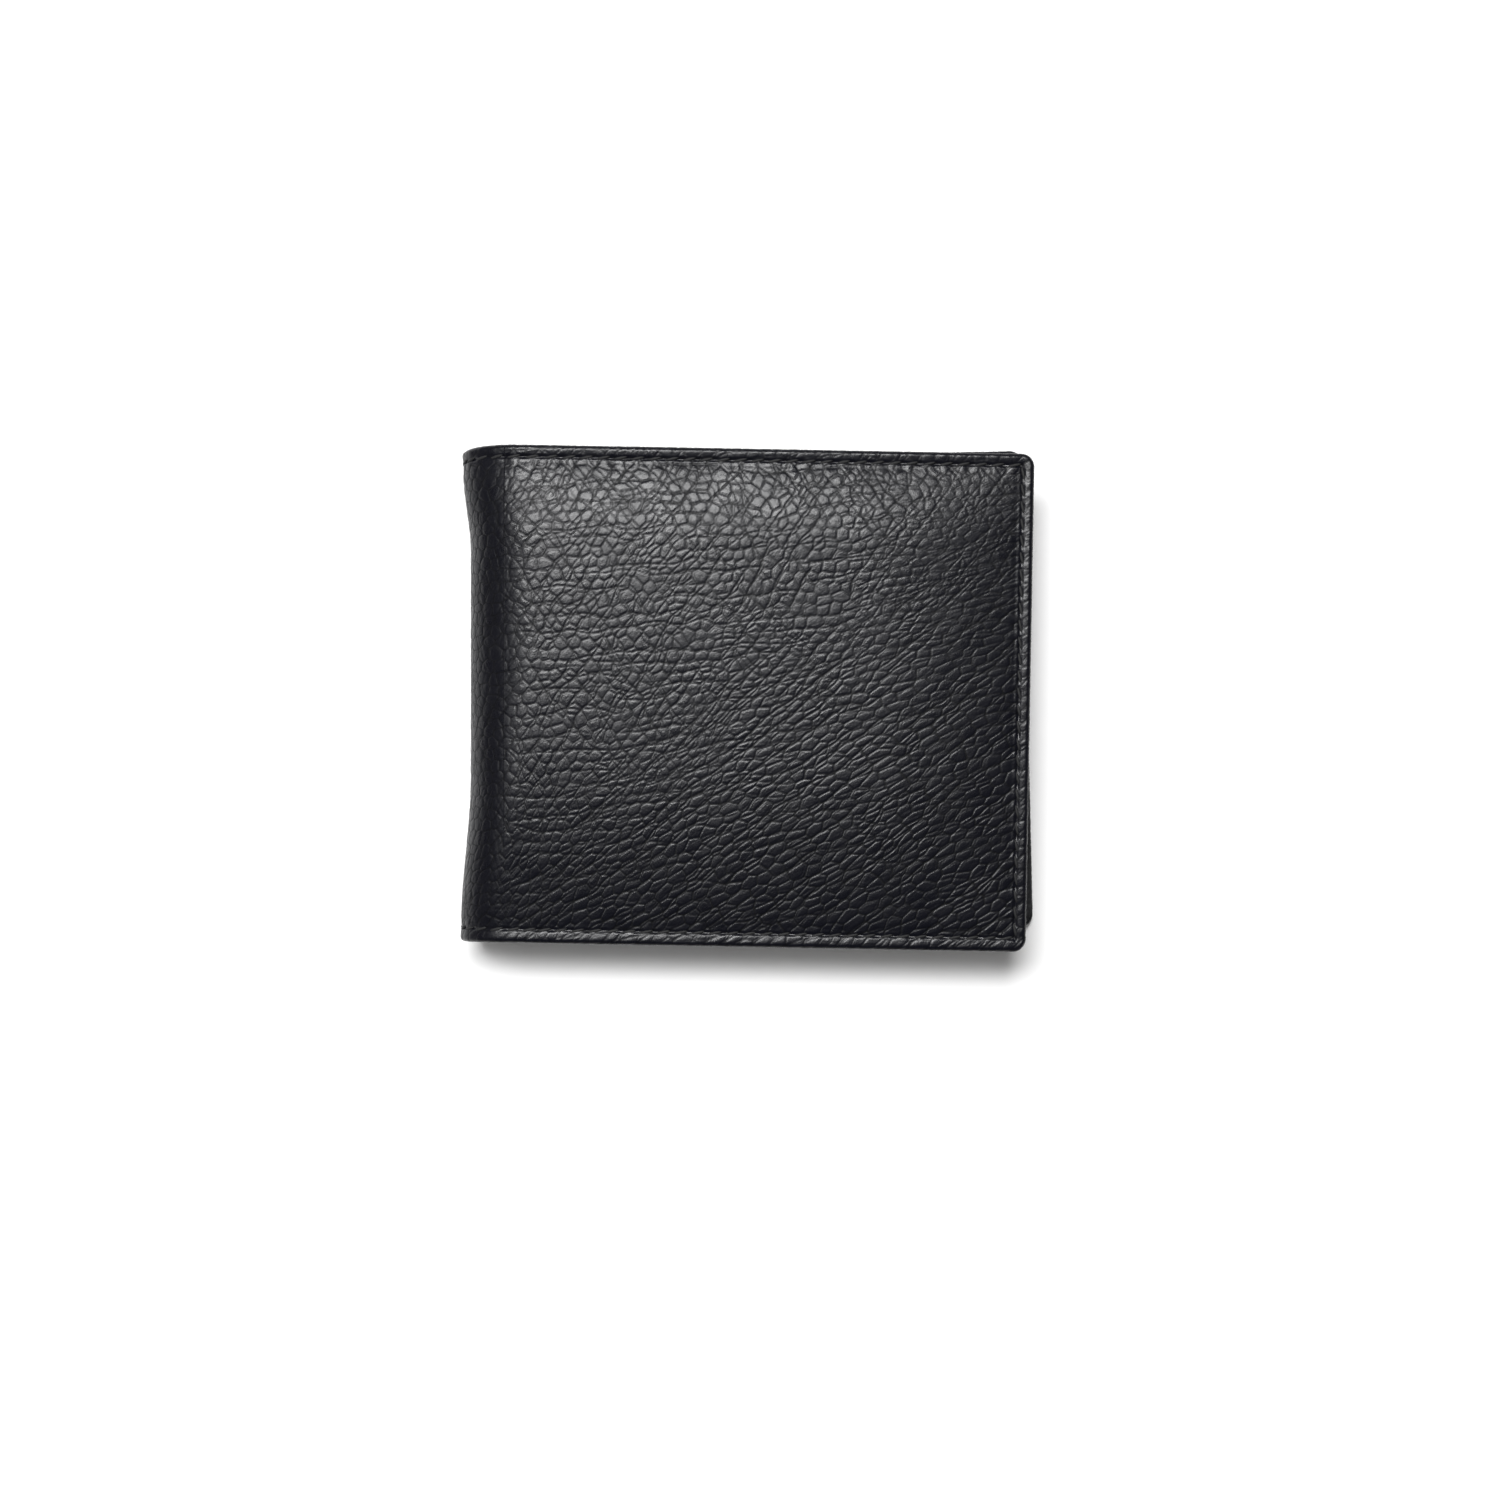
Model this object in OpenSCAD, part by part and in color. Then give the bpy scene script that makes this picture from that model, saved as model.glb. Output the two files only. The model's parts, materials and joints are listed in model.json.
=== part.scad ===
// Padded leather bifold wallet, closed and lying on its back cover.
//
// Frame: +X runs from the fold to the fore edge, +Y to the open mouth of the note pockets and +Z up
// through the closed wallet. The origin is on the flat middle of the back cover's underside.
// Each half is drawn once in its own frame: x from the fold, z outwards from the plane where the
// two closed halves meet. front_half() and back_half() then place it.

/* [Covers] */
// Height of both covers, from the foot edge to the head edge
cover_h = 95.2; // [85:0.5:115]
// Width of the front cover, from the fold to the fore edge
front_w = 100.2; // [98:0.1:125]
// Width of the back cover, from the fold to the fore edge
back_w = 102.2; // [98:0.1:125]
// Thickness of the closed wallet over its padded middle
closed_t = 20; // [18:0.1:30]
// Radius of the covers' corners
corner_r = 2.6; // [1:0.1:6]
// Turn of the front cover about its fold, clockwise from above
front_turn = 1.05; // [0:0.05:3]
// Turn of the back cover about its fold, anticlockwise from above
back_turn = 1.3; // [0:0.05:3]
// How much nearer its foot edge the back cover lies than the front one
back_slip = 0.9; // [0:0.1:2]

/* [Turned edge and padding] */
// Width of the rolled bead along the turned edge
bead_w = 2.7; // [1.5:0.1:5]
// Radius of the bead's outer edge
bead_r = 0.75; // [0.2:0.05:0.8]
// Width of the channel that the stitches pull into the leather
channel_w = 0.6; // [0.4:0.05:1]
// Depth of that channel
channel_d = 0.3; // [0.1:0.05:0.6]
// Height of the padded middle above the turned edge
crown_rise = 1.4; // [0.5:0.1:2.4]
// Width of the padding's slope at the fore edge
fore_slope = 14; // [4:0.5:25]
// Width of the padding's slope at the foot edge
foot_slope = 11; // [4:0.5:20]
// Width of the padding's slope at the head edge
head_slope = 6; // [3:0.5:20]
// Corner radius where the padding starts
crown_corner_r = 4; // [2:0.5:10]

/* [Cover layers] */
// Thickness of the outer leather
cover_leather_t = 1; // [0.6:0.05:1.6]
// Thickness of the padding foam
foam_t = 0.35; // [0.2:0.05:1.2]
// Thickness of the stiffening board
board_t = 0.25; // [0.15:0.05:0.6]
// Thickness of the note pocket's lining
lining_t = 0.15; // [0.1:0.05:0.4]

/* [Fold] */
// How far the spine stands out beyond the folds at mid height
spine_bulge = 7.8; // [5:0.1:14]
// How much further the spine's two ends flare out
spine_flare = 1.5; // [0:0.1:4]
// Gap in the leather along each fold, where it bends
fold_gap = 0.9; // [0.6:0.05:1.5]

/* [Inner wings] */
// Thickness of the wing leather
wing_leather_t = 0.4; // [0.25:0.05:1]
// Thickness of the wing's lining
wing_lining_t = 0.15; // [0.1:0.05:0.4]
// Distance from the fold to the wing's free edge
wing_fold_gap = 2.5; // [1:0.1:6]
// Distance from the cover's fore and foot edges in to the wing's edges
wing_inset = 0.6; // [0.2:0.1:1.5]
// Distance from the cover's head edge down to the wing's edge
wing_head_drop = 1.5; // [0.5:0.1:6]
// Width of the wing's slope down from its sewn edge
wing_slope = 6; // [3:0.5:7]

/* [Card pockets] */
// Width of the cards that the pockets hold
card_w = 85.6; // [80:0.1:88]
// Room beside a card between the side seams
card_slack = 0.4; // [0.2:0.1:1]
// Distance from a side seam out to the end of the pocket
pocket_seam = 0.5; // [0.4:0.1:1]
// Distance from the wing's free edge to the pockets
pocket_start = 0.5; // [0.2:0.1:2]
// Thickness of the pocket leather
pocket_t = 0.4; // [0.25:0.05:0.6]
// Gap between one pocket and the next
pocket_gap = 0.08; // [0.05:0.01:0.2]
// Distance from the meeting plane to the nearest pocket
meeting_gap = 0.25; // [0.2:0.05:1]
// Distance from the head edge down to the highest pocket's lip
lip_drop = 11.5; // [8:0.5:14]
// Distance from one pocket's lip down to the next
lip_step = 11; // [6:0.5:12]
// Height of a pocket's leather strip
strip_h = 16; // [13:0.5:18]
// Depth of a pocket below its lip
pocket_depth = 44; // [38:0.5:45]
// Width cut off each side of a pocket's fabric liner
liner_inset = 1.2; // [0.5:0.1:4]
// Thickness of the fabric liners
liner_t = 0.15; // [0.1:0.05:0.25]

/* [Stitching] */
// Thickness of the sewing thread where it lies on the leather
thread_t = 0.1; // [0.05:0.01:0.12]
// Width of a line of stitches
thread_w = 0.4; // [0.2:0.05:0.5]

/* [Hidden] */

// Pockets in each half, counted from the meeting plane outwards; NODES names them one by one
pocket_count = 4;
// Steps round a quarter turn of the padding's slope, of the bead, and of a corner
slope_steps = 5;
bead_steps = 3;
corner_fn = 32;
// Steps round the spine from fold to fold, and along its even middle
spine_steps = 14;
middle_steps = 8;
// How far a cut runs past the edge that it opens, and a cover past its fold before it is cut
past = 1;
overrun = 10;

fold_x = -front_w / 2;
half_t = closed_t / 2;
// The cover, from its outside in
rim_t = cover_leather_t + foam_t + board_t + lining_t;
rim_top = half_t - crown_rise;
rim_under = rim_top - rim_t;
rim_w = bead_w + channel_w;
lining_top = rim_under + lining_t;
board_top = lining_top + board_t;
foam_top = board_top + foam_t;
// The wing, which hangs from the cover's rim and dips under its pockets
wing_t = wing_leather_t + wing_lining_t;
wing_brim = rim_under - wing_t;
pocket_pitch = pocket_t + pocket_gap;
wing_floor = meeting_gap + pocket_count * pocket_pitch;
wing_dip = wing_brim - wing_floor;
wing_head = cover_h / 2 - wing_head_drop;
// The pockets
pocket_x = wing_fold_gap + pocket_start;
pocket_w = card_w + 2 * card_slack + 2 * pocket_seam;
pocket_foot = -cover_h / 2 + rim_w + wing_slope;
strip_r = 1;

// ---- Shared rules ----------------------------------------------------------

// How far the padding's slope has come in, and up, at step i of it
function slope_in(i) = 1 - cos(90 * i / slope_steps);
function slope_up(i) = sin(90 * i / slope_steps);

// Height of a pocket's lip above the covers' middle, pocket 1 being the lowest
function lip_y(k) = cover_h / 2 - lip_drop - (pocket_count - k) * lip_step;
// Distance from the meeting plane to a pocket's near face
function pocket_z(k) = meeting_gap + (k - 1) * pocket_pitch;

module front_half() {
    translate([fold_x, 0, half_t]) cut_at_fold() rotate(-front_turn) children();
}

module back_half() {
    translate([fold_x, -back_slip, half_t])
        mirror([0, 0, 1]) cut_at_fold() rotate(back_turn) children();
}

// Cuts a turned half off on its fold line, which stays straight
module cut_at_fold() {
    reach = 2 * (back_w + front_w);
    intersection() {
        children();
        translate([0, -reach / 2, -reach / 2]) cube(reach);
    }
}

// A cover seen flat, set in from its fore, foot and head edges, and run past its fold
module cover_plan(w, fore, foot, head, r) {
    right = w - fore;
    low = -cover_h / 2 + foot;
    high = cover_h / 2 - head;
    translate([-overrun, low]) square([right - r + overrun, high - low]);
    translate([-overrun, low + r]) square([right + overrun, high - low - 2 * r]);
    for (y = [low + r, high - r]) translate([right - r, y]) circle(r = r, $fn = corner_fn);
}

// A strip of even width that follows the cover's three free edges at a set distance
module edge_strip(w, inset, width) {
    outer_r = max(corner_r - inset, 2 * width);
    difference() {
        cover_plan(w, inset, inset, inset, outer_r);
        cover_plan(w, inset + width, inset + width, inset + width, outer_r - width);
    }
}

// ---- Cover layers ----------------------------------------------------------

// The padded form: upright walls to the top, then a slope that rounds over to the crown
module padded_form(w, base, top) {
    translate([0, 0, base]) hull() for (i = [0 : slope_steps])
        linear_extrude(top - base + crown_rise * slope_up(i))
            cover_plan(w, rim_w + fore_slope * slope_in(i), rim_w + foot_slope * slope_in(i),
                rim_w + head_slope * slope_in(i), crown_corner_r + head_slope * slope_in(i));
}

// One even layer under the padded leather
module cover_layer(w, under, thick) {
    difference() {
        padded_form(w, under, under + thick);
        padded_form(w, under - past, under);
    }
}

// The leather turned round the cover's edge, rounded above and below like a bead
module turned_edge(w) {
    hull() for (i = [0 : bead_steps]) {
        inset = bead_r * (1 - cos(90 * i / bead_steps));
        lift = bead_r * (1 - sin(90 * i / bead_steps));
        translate([0, 0, rim_under + lift]) linear_extrude(rim_t - 2 * lift)
            cover_plan(w, inset, inset, inset, corner_r - inset);
    }
}

module cover_leather(w) {
    difference() {
        union() {
            turned_edge(w);
            padded_form(w, rim_under, rim_top);
        }
        padded_form(w, rim_under - past, foam_top);
        translate([0, 0, rim_top - channel_d]) linear_extrude(channel_d + past)
            edge_strip(w, bead_w, channel_w);
    }
}

module cover_foam(w) { cover_layer(w, board_top, foam_t); }

module cover_board(w) { cover_layer(w, lining_top, board_t); }

module cover_lining(w) { cover_layer(w, rim_under, lining_t); }

// ---- Inner wing ------------------------------------------------------------

// A wing seen flat, set in from its two sewn edges; extra takes it past its two free edges
module wing_plan(w, inset, extra, r) {
    left = wing_fold_gap - extra;
    low = -cover_h / 2 + inset;
    high = wing_head + extra;
    right = w - inset;
    translate([left, low + r]) square([right - left, high - low - r]);
    translate([left, low]) square([right - r - left, r + past]);
    translate([right - r, low + r]) circle(r = r, $fn = corner_fn);
}

// The wing's hollow: down from the sewn edges to a flat floor, open at the head and the fold
module wing_hollow(w, brim, up, extra) {
    hull() for (i = [0 : slope_steps])
        translate([0, 0, brim - wing_dip * slope_up(i)]) linear_extrude(wing_dip * slope_up(i) + up)
            wing_plan(w, rim_w + wing_slope * slope_in(i), extra, crown_corner_r);
}

module wing_layer(w, under, thick) {
    difference() {
        union() {
            translate([0, 0, under]) linear_extrude(thick)
                wing_plan(w, wing_inset, 0, corner_r);
            wing_hollow(w, under, thick, 0);
        }
        wing_hollow(w, under + thick, past, past);
    }
}

module wing_leather(w) { wing_layer(w, wing_brim, wing_leather_t); }

module wing_lining(w) { wing_layer(w, wing_brim + wing_leather_t, wing_lining_t); }

// ---- Card pockets ----------------------------------------------------------

// A pocket's leather: a short strip under its lip, and the lowest one a whole panel
module card_pocket(k) {
    low = k == 1 ? pocket_foot : lip_y(k) - strip_h;
    translate([pocket_x, low, pocket_z(k)]) linear_extrude(pocket_t) {
        translate([strip_r, 0]) square([pocket_w - 2 * strip_r, lip_y(k) - low]);
        translate([0, strip_r]) square([pocket_w, lip_y(k) - low - strip_r]);
        for (x = [strip_r, pocket_w - strip_r]) translate([x, strip_r]) circle(strip_r, $fn = corner_fn);
    }
}

// The fabric that carries a pocket on down behind its strip, narrower than the leather
module pocket_liner(k) {
    low = max(lip_y(k) - pocket_depth, pocket_foot);
    high = lip_y(k) - strip_h;
    translate([pocket_x + liner_inset, low, pocket_z(k) + (pocket_t - liner_t) / 2])
        cube([pocket_w - 2 * liner_inset, high - low, liner_t]);
}

// ---- Stitching -------------------------------------------------------------

// Down in the channel round the outside of the cover
module edge_stitching(w) {
    translate([0, 0, rim_top - channel_d]) linear_extrude(thread_t)
        edge_strip(w, seam_in, thread_w);
}

// The same seam where it comes out on the flat edge of the wing, along the foot and fore edges
module wing_stitching(w) {
    translate([0, 0, wing_brim - thread_t]) linear_extrude(thread_t)
        intersection() {
            edge_strip(w, bead_w - thread_w, thread_w);
            wing_plan(w, wing_inset, 0, corner_r);
        }
}

// The two side seams, on the near face of each pocket in turn
module pocket_stitching() {
    for (x = [pocket_x + pocket_seam - thread_w / 2, pocket_x + pocket_w - pocket_seam - thread_w / 2],
         k = [1 : pocket_count]) {
        low = k == 1 ? pocket_foot + strip_r : lip_y(k - 1);
        translate([x, low, pocket_z(k) - thread_t]) cube([thread_w, lip_y(k) - low, thread_t]);
    }
}

// ---- Spine -----------------------------------------------------------------

// Places along the spine: the turned ends with their seams, the padding's steps and an even middle
foot_line = -cover_h / 2 + rim_w;
head_line = cover_h / 2 - rim_w;
foot_top = foot_line + foot_slope;
head_top = head_line - head_slope;
seam_in = bead_w + (channel_w - thread_w) / 2;
foot_seam = -cover_h / 2 + seam_in;
head_seam = cover_h / 2 - seam_in - thread_w;
spine_ys = concat(
    [-cover_h / 2, foot_seam, foot_seam + thread_w],
    [for (i = [0 : slope_steps]) foot_line + foot_slope * slope_in(i)],
    [for (i = [1 : middle_steps - 1]) foot_top + (head_top - foot_top) * i / middle_steps],
    [for (i = [slope_steps : -1 : 0]) head_line - head_slope * slope_in(i)],
    [head_seam, head_seam + thread_w, cover_h / 2]);

// Share of the padding's rise at a distance d in from the rim, on a slope of width s
function rise_share(d, s) = d <= 0 ? 0 : d >= s ? 1 : sqrt(1 - pow(1 - d / s, 2));
// Distance from the meeting plane to the leather's outside at the fold
function spine_high(y) = rim_top + crown_rise
    * min(rise_share(y - foot_line, foot_slope), rise_share(head_line - y, head_slope));
// Distance from the folds to the spine's outside at the meeting plane
function spine_out(y) = spine_bulge + spine_flare * pow(abs(2 * y / cover_h), 3);

// A point on the spine, deep below its outside, at step j of the way round from the front fold to
// the back one, with the spine sheared to follow the back cover's slip
function spine_point(y, deep, j) =
    let (out = spine_out(y) - deep, high = spine_high(y) - deep,
         start = asin(fold_gap / out), a = start + (180 - 2 * start) * j / spine_steps)
    [-out * sin(a), y - back_slip * (1 - cos(a)) / 2, high * cos(a)];

// A curved sheet through the places ys, between two depths below the spine's outside
module spine_sheet(ys, outer, inner) {
    rows = len(ys);
    across = spine_steps + 1;
    all = rows * across;
    points = concat(
        [for (y = ys, j = [0 : spine_steps]) spine_point(y, outer, j)],
        [for (y = ys, j = [0 : spine_steps]) spine_point(y, inner, j)]);
    last = (rows - 1) * across;
    faces = concat(
        [for (r = [0 : rows - 2], j = [0 : spine_steps - 1], t = [0, 1])
            let (p = r * across + j)
            t == 0 ? [p, p + 1, p + across] : [p + 1, p + across + 1, p + across]],
        [for (r = [0 : rows - 2], j = [0 : spine_steps - 1], t = [0, 1])
            let (p = all + r * across + j)
            t == 0 ? [p, p + across, p + 1] : [p + 1, p + across, p + across + 1]],
        [for (j = [0 : spine_steps - 1]) [j, j + all, j + all + 1, j + 1]],
        [for (j = [0 : spine_steps - 1])
            [last + j, last + j + 1, last + j + all + 1, last + j + all]],
        [for (r = [0 : rows - 2])
            let (p = r * across) [p, p + across, p + across + all, p + all]],
        [for (r = [0 : rows - 2])
            let (p = r * across + spine_steps) [p, p + all, p + across + all, p + across]]);
    translate([fold_x, 0, half_t]) polyhedron(points, faces);
}

module spine_leather() { spine_sheet(spine_ys, 0, cover_leather_t); }

module spine_lining() { spine_sheet(spine_ys, cover_leather_t, cover_leather_t + lining_t); }

// The seam that carries on round both ends of the spine, lying on the leather
module spine_stitching() {
    for (y = [foot_seam, head_seam]) spine_sheet([y, y + thread_w], -thread_t, 0);
}

// ---- Nodes -----------------------------------------------------------------

module leather() { color("#2b2d31") children(); }
module pocket_leather() { color("#232427") children(); }
module lining() { color("#17181b") children(); }
module foam() { color("#8d8f92") children(); }
module board() { color("#8a6f4f") children(); }
module thread() { color("#101114") children(); }

leather() front_half() cover_leather(front_w);  // front_cover_leather
foam() front_half() cover_foam(front_w);  // front_cover_foam
board() front_half() cover_board(front_w);  // front_cover_board
lining() front_half() cover_lining(front_w);  // front_cover_lining
leather() front_half() wing_leather(front_w);  // front_wing_leather
lining() front_half() wing_lining(front_w);  // front_wing_lining
pocket_leather() front_half() card_pocket(1);  // front_card_pocket_1
pocket_leather() front_half() card_pocket(2);  // front_card_pocket_2
pocket_leather() front_half() card_pocket(3);  // front_card_pocket_3
pocket_leather() front_half() card_pocket(4);  // front_card_pocket_4
lining() front_half() pocket_liner(2);  // front_pocket_liner_2
lining() front_half() pocket_liner(3);  // front_pocket_liner_3
lining() front_half() pocket_liner(4);  // front_pocket_liner_4
thread() front_half() edge_stitching(front_w);  // front_edge_stitching
thread() front_half() wing_stitching(front_w);  // front_wing_stitching
thread() front_half() pocket_stitching();  // front_pocket_stitching
leather() spine_leather();
lining() spine_lining();
thread() spine_stitching();
leather() back_half() cover_leather(back_w);  // back_cover_leather
foam() back_half() cover_foam(back_w);  // back_cover_foam
board() back_half() cover_board(back_w);  // back_cover_board
lining() back_half() cover_lining(back_w);  // back_cover_lining
leather() back_half() wing_leather(back_w);  // back_wing_leather
lining() back_half() wing_lining(back_w);  // back_wing_lining
pocket_leather() back_half() card_pocket(1);  // back_card_pocket_1
pocket_leather() back_half() card_pocket(2);  // back_card_pocket_2
pocket_leather() back_half() card_pocket(3);  // back_card_pocket_3
pocket_leather() back_half() card_pocket(4);  // back_card_pocket_4
lining() back_half() pocket_liner(2);  // back_pocket_liner_2
lining() back_half() pocket_liner(3);  // back_pocket_liner_3
lining() back_half() pocket_liner(4);  // back_pocket_liner_4
thread() back_half() edge_stitching(back_w);  // back_edge_stitching
thread() back_half() wing_stitching(back_w);  // back_wing_stitching
thread() back_half() pocket_stitching();  // back_pocket_stitching
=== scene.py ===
"""Padded bifold wallet in black pebbled leather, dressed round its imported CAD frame.

Shapes are worked out in millimetres and become metres when a mesh is made. Each half of the wallet
is drawn in its own frame, as in the CAD: x from the fold, y towards the head edge, z outwards from
the plane where the two closed halves meet. The leather is one skin in three pieces, front cover,
spine and back cover, and its grain is drawn in flat leather coordinates: u along the skin, zero at
the front fold and growing towards the front fore edge, and v along the wallet's height.
"""
import sys

import json
import logging
import math
from collections.abc import Callable
from dataclasses import dataclass, field
from enum import Enum

import bmesh
import bpy
import numpy as np
from mathutils import Matrix, Vector
from mathutils.bvhtree import BVHTree
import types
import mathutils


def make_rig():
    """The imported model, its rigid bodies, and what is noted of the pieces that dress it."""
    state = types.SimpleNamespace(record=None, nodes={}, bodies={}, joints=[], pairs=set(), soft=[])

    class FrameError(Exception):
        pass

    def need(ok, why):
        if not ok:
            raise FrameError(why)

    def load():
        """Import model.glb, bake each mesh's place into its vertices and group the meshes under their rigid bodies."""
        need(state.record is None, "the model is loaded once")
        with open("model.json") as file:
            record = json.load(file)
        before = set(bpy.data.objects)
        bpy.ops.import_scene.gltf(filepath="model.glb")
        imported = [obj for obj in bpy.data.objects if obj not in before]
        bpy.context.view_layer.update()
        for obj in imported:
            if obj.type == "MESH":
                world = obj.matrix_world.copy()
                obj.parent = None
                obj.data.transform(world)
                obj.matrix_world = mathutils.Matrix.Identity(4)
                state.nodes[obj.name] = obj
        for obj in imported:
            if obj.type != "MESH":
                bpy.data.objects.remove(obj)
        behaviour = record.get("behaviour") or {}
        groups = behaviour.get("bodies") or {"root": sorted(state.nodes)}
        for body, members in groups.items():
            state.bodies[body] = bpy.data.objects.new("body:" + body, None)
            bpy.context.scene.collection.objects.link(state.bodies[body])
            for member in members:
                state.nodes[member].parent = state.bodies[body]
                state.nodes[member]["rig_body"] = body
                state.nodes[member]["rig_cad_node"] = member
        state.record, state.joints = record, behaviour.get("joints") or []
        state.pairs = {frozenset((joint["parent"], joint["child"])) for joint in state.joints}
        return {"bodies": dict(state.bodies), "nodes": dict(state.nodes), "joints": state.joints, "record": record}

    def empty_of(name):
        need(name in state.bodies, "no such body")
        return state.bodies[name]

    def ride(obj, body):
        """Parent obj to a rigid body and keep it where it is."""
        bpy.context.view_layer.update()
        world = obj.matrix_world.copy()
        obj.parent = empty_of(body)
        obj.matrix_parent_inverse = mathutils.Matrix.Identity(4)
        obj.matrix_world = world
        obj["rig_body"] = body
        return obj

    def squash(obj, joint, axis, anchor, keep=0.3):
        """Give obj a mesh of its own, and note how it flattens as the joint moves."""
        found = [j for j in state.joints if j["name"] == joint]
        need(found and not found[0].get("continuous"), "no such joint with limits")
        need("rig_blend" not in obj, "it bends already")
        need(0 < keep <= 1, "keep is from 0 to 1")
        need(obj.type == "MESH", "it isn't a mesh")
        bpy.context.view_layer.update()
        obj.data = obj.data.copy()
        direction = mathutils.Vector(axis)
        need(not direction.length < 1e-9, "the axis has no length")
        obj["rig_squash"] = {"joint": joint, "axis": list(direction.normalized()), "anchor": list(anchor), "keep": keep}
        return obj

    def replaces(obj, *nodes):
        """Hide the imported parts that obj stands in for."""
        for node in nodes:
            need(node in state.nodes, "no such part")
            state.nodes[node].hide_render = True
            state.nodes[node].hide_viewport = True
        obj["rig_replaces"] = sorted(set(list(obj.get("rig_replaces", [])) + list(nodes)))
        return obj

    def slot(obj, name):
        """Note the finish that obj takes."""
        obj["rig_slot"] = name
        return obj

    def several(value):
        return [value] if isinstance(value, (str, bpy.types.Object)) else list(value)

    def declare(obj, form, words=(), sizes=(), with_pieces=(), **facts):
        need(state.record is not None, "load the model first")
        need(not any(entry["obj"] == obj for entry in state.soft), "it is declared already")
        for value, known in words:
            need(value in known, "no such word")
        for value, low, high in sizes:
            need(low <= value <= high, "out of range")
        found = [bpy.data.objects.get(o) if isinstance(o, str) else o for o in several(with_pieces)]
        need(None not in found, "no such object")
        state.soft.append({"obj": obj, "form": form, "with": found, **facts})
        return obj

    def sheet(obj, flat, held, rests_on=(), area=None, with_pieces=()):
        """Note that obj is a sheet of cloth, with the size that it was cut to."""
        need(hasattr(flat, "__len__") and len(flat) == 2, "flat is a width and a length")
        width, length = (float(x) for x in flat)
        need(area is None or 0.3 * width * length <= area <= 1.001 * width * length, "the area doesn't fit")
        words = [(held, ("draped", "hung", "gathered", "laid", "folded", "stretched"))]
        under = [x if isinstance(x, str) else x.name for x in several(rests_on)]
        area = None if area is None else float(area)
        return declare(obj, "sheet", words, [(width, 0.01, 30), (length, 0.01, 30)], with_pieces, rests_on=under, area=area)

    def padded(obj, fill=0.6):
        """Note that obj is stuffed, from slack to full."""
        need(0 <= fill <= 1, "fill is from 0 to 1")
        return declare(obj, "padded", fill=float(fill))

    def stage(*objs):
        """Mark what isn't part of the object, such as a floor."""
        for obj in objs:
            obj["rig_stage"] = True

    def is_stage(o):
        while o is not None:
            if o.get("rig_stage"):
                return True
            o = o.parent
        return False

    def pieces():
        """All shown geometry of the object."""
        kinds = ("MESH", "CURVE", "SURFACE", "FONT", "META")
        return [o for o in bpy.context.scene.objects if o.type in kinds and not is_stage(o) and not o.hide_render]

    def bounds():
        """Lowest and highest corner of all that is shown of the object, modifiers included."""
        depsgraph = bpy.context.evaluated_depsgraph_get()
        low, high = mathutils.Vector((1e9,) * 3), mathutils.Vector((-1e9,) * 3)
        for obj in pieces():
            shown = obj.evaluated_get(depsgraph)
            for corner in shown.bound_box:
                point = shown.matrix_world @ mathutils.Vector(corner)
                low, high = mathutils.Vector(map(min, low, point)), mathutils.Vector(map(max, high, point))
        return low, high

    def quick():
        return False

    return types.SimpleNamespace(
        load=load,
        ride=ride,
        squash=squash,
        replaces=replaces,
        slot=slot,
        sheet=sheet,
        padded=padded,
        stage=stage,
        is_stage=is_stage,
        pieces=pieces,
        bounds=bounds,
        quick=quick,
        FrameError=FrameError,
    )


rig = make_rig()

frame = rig.load()
CAD_LOW, CAD_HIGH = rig.bounds()

MM = 0.001
IMAGE_W, IMAGE_H = 1500, 1500
log = logging.getLogger("wallet")

Array = np.ndarray
Surface = Callable[[Array, Array], Array]
Span = tuple[tuple[float, float], tuple[float, float]]


# ---- The photograph's points -------------------------------------------------

IMAGE_POINTS: dict[str, tuple[float, float]] = {
    "wallet_left": (462.0, 926.0),
    "wallet_right": (1034.0, 900.0),
    "wallet_top": (540.0, 443.5),
    "wallet_bottom": (1000.0, 951.0),
    "spine_left": (471.0, 690.0),
    "fore_edge_right": (1030.5, 700.0),
    "head_edge_top": (702.0, 447.0),
    "foot_edge_bottom": (770.0, 948.0),
    "head_seam": (700.0, 459.5),
    "fore_seam": (1019.0, 700.0),
    "foot_seam": (770.0, 934.0),
}


# ---- Sizes -------------------------------------------------------------------


@dataclass(frozen=True)
class WalletSizes:
    """The wallet's driving sizes in millimetres, as the CAD has them.

    Each cover's face is a flat rim round a padded crown, which rises to its full height over one
    slope from the fore edge, one from the foot and one from the head.
    """

    fold_x: float
    half_t: float
    cover_h: float = 95.2
    rim_t: float = 1.75
    rim_w: float = 3.3
    corner_r: float = 2.6
    crown_rise: float = 1.4
    crown_round: float = 1.9
    fore_slope: float = 27.0
    foot_slope: float = 31.0
    head_slope: float = 15.0
    fold_length: float = 28.0
    spine_bulge: float = 7.8
    head_flare: float = 1.5
    foot_flare: float = 1.875
    bead_r: float = 0.87
    bead_tail: float = 0.5

    @property
    def rim_top(self) -> float:
        """Height of the turned edge's face above the meeting plane."""
        return self.half_t - self.crown_rise

    @property
    def bead_end(self) -> float:
        """Length of skin that the rolled bead takes up, from its hidden end to its top."""
        return self.bead_tail + math.pi * self.bead_r

    @property
    def wrap(self) -> float:
        """How much further the flat skin reaches than the cover seen from above."""
        return self.bead_end - self.bead_r


def sizes_from_frame() -> WalletSizes:
    """Reads the fold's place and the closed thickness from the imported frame.

    Returns:
        The wallet's sizes in millimetres.
    """
    fold = next(j for j in frame["joints"] if j["name"] == "back_fold")
    thickness = (CAD_HIGH.z - CAD_LOW.z) / MM
    return WalletSizes(fold_x=fold["pos_m"][0] / MM, half_t=thickness / 2)


SIZES = sizes_from_frame()


# ---- Steps and repeatable noise ----------------------------------------------


def ease(t: Array | float) -> Array:
    """A smooth step from 0 to 1 as t goes from 0 to 1."""
    t = np.clip(t, 0.0, 1.0)
    return t * t * (3.0 - 2.0 * t)


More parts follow.
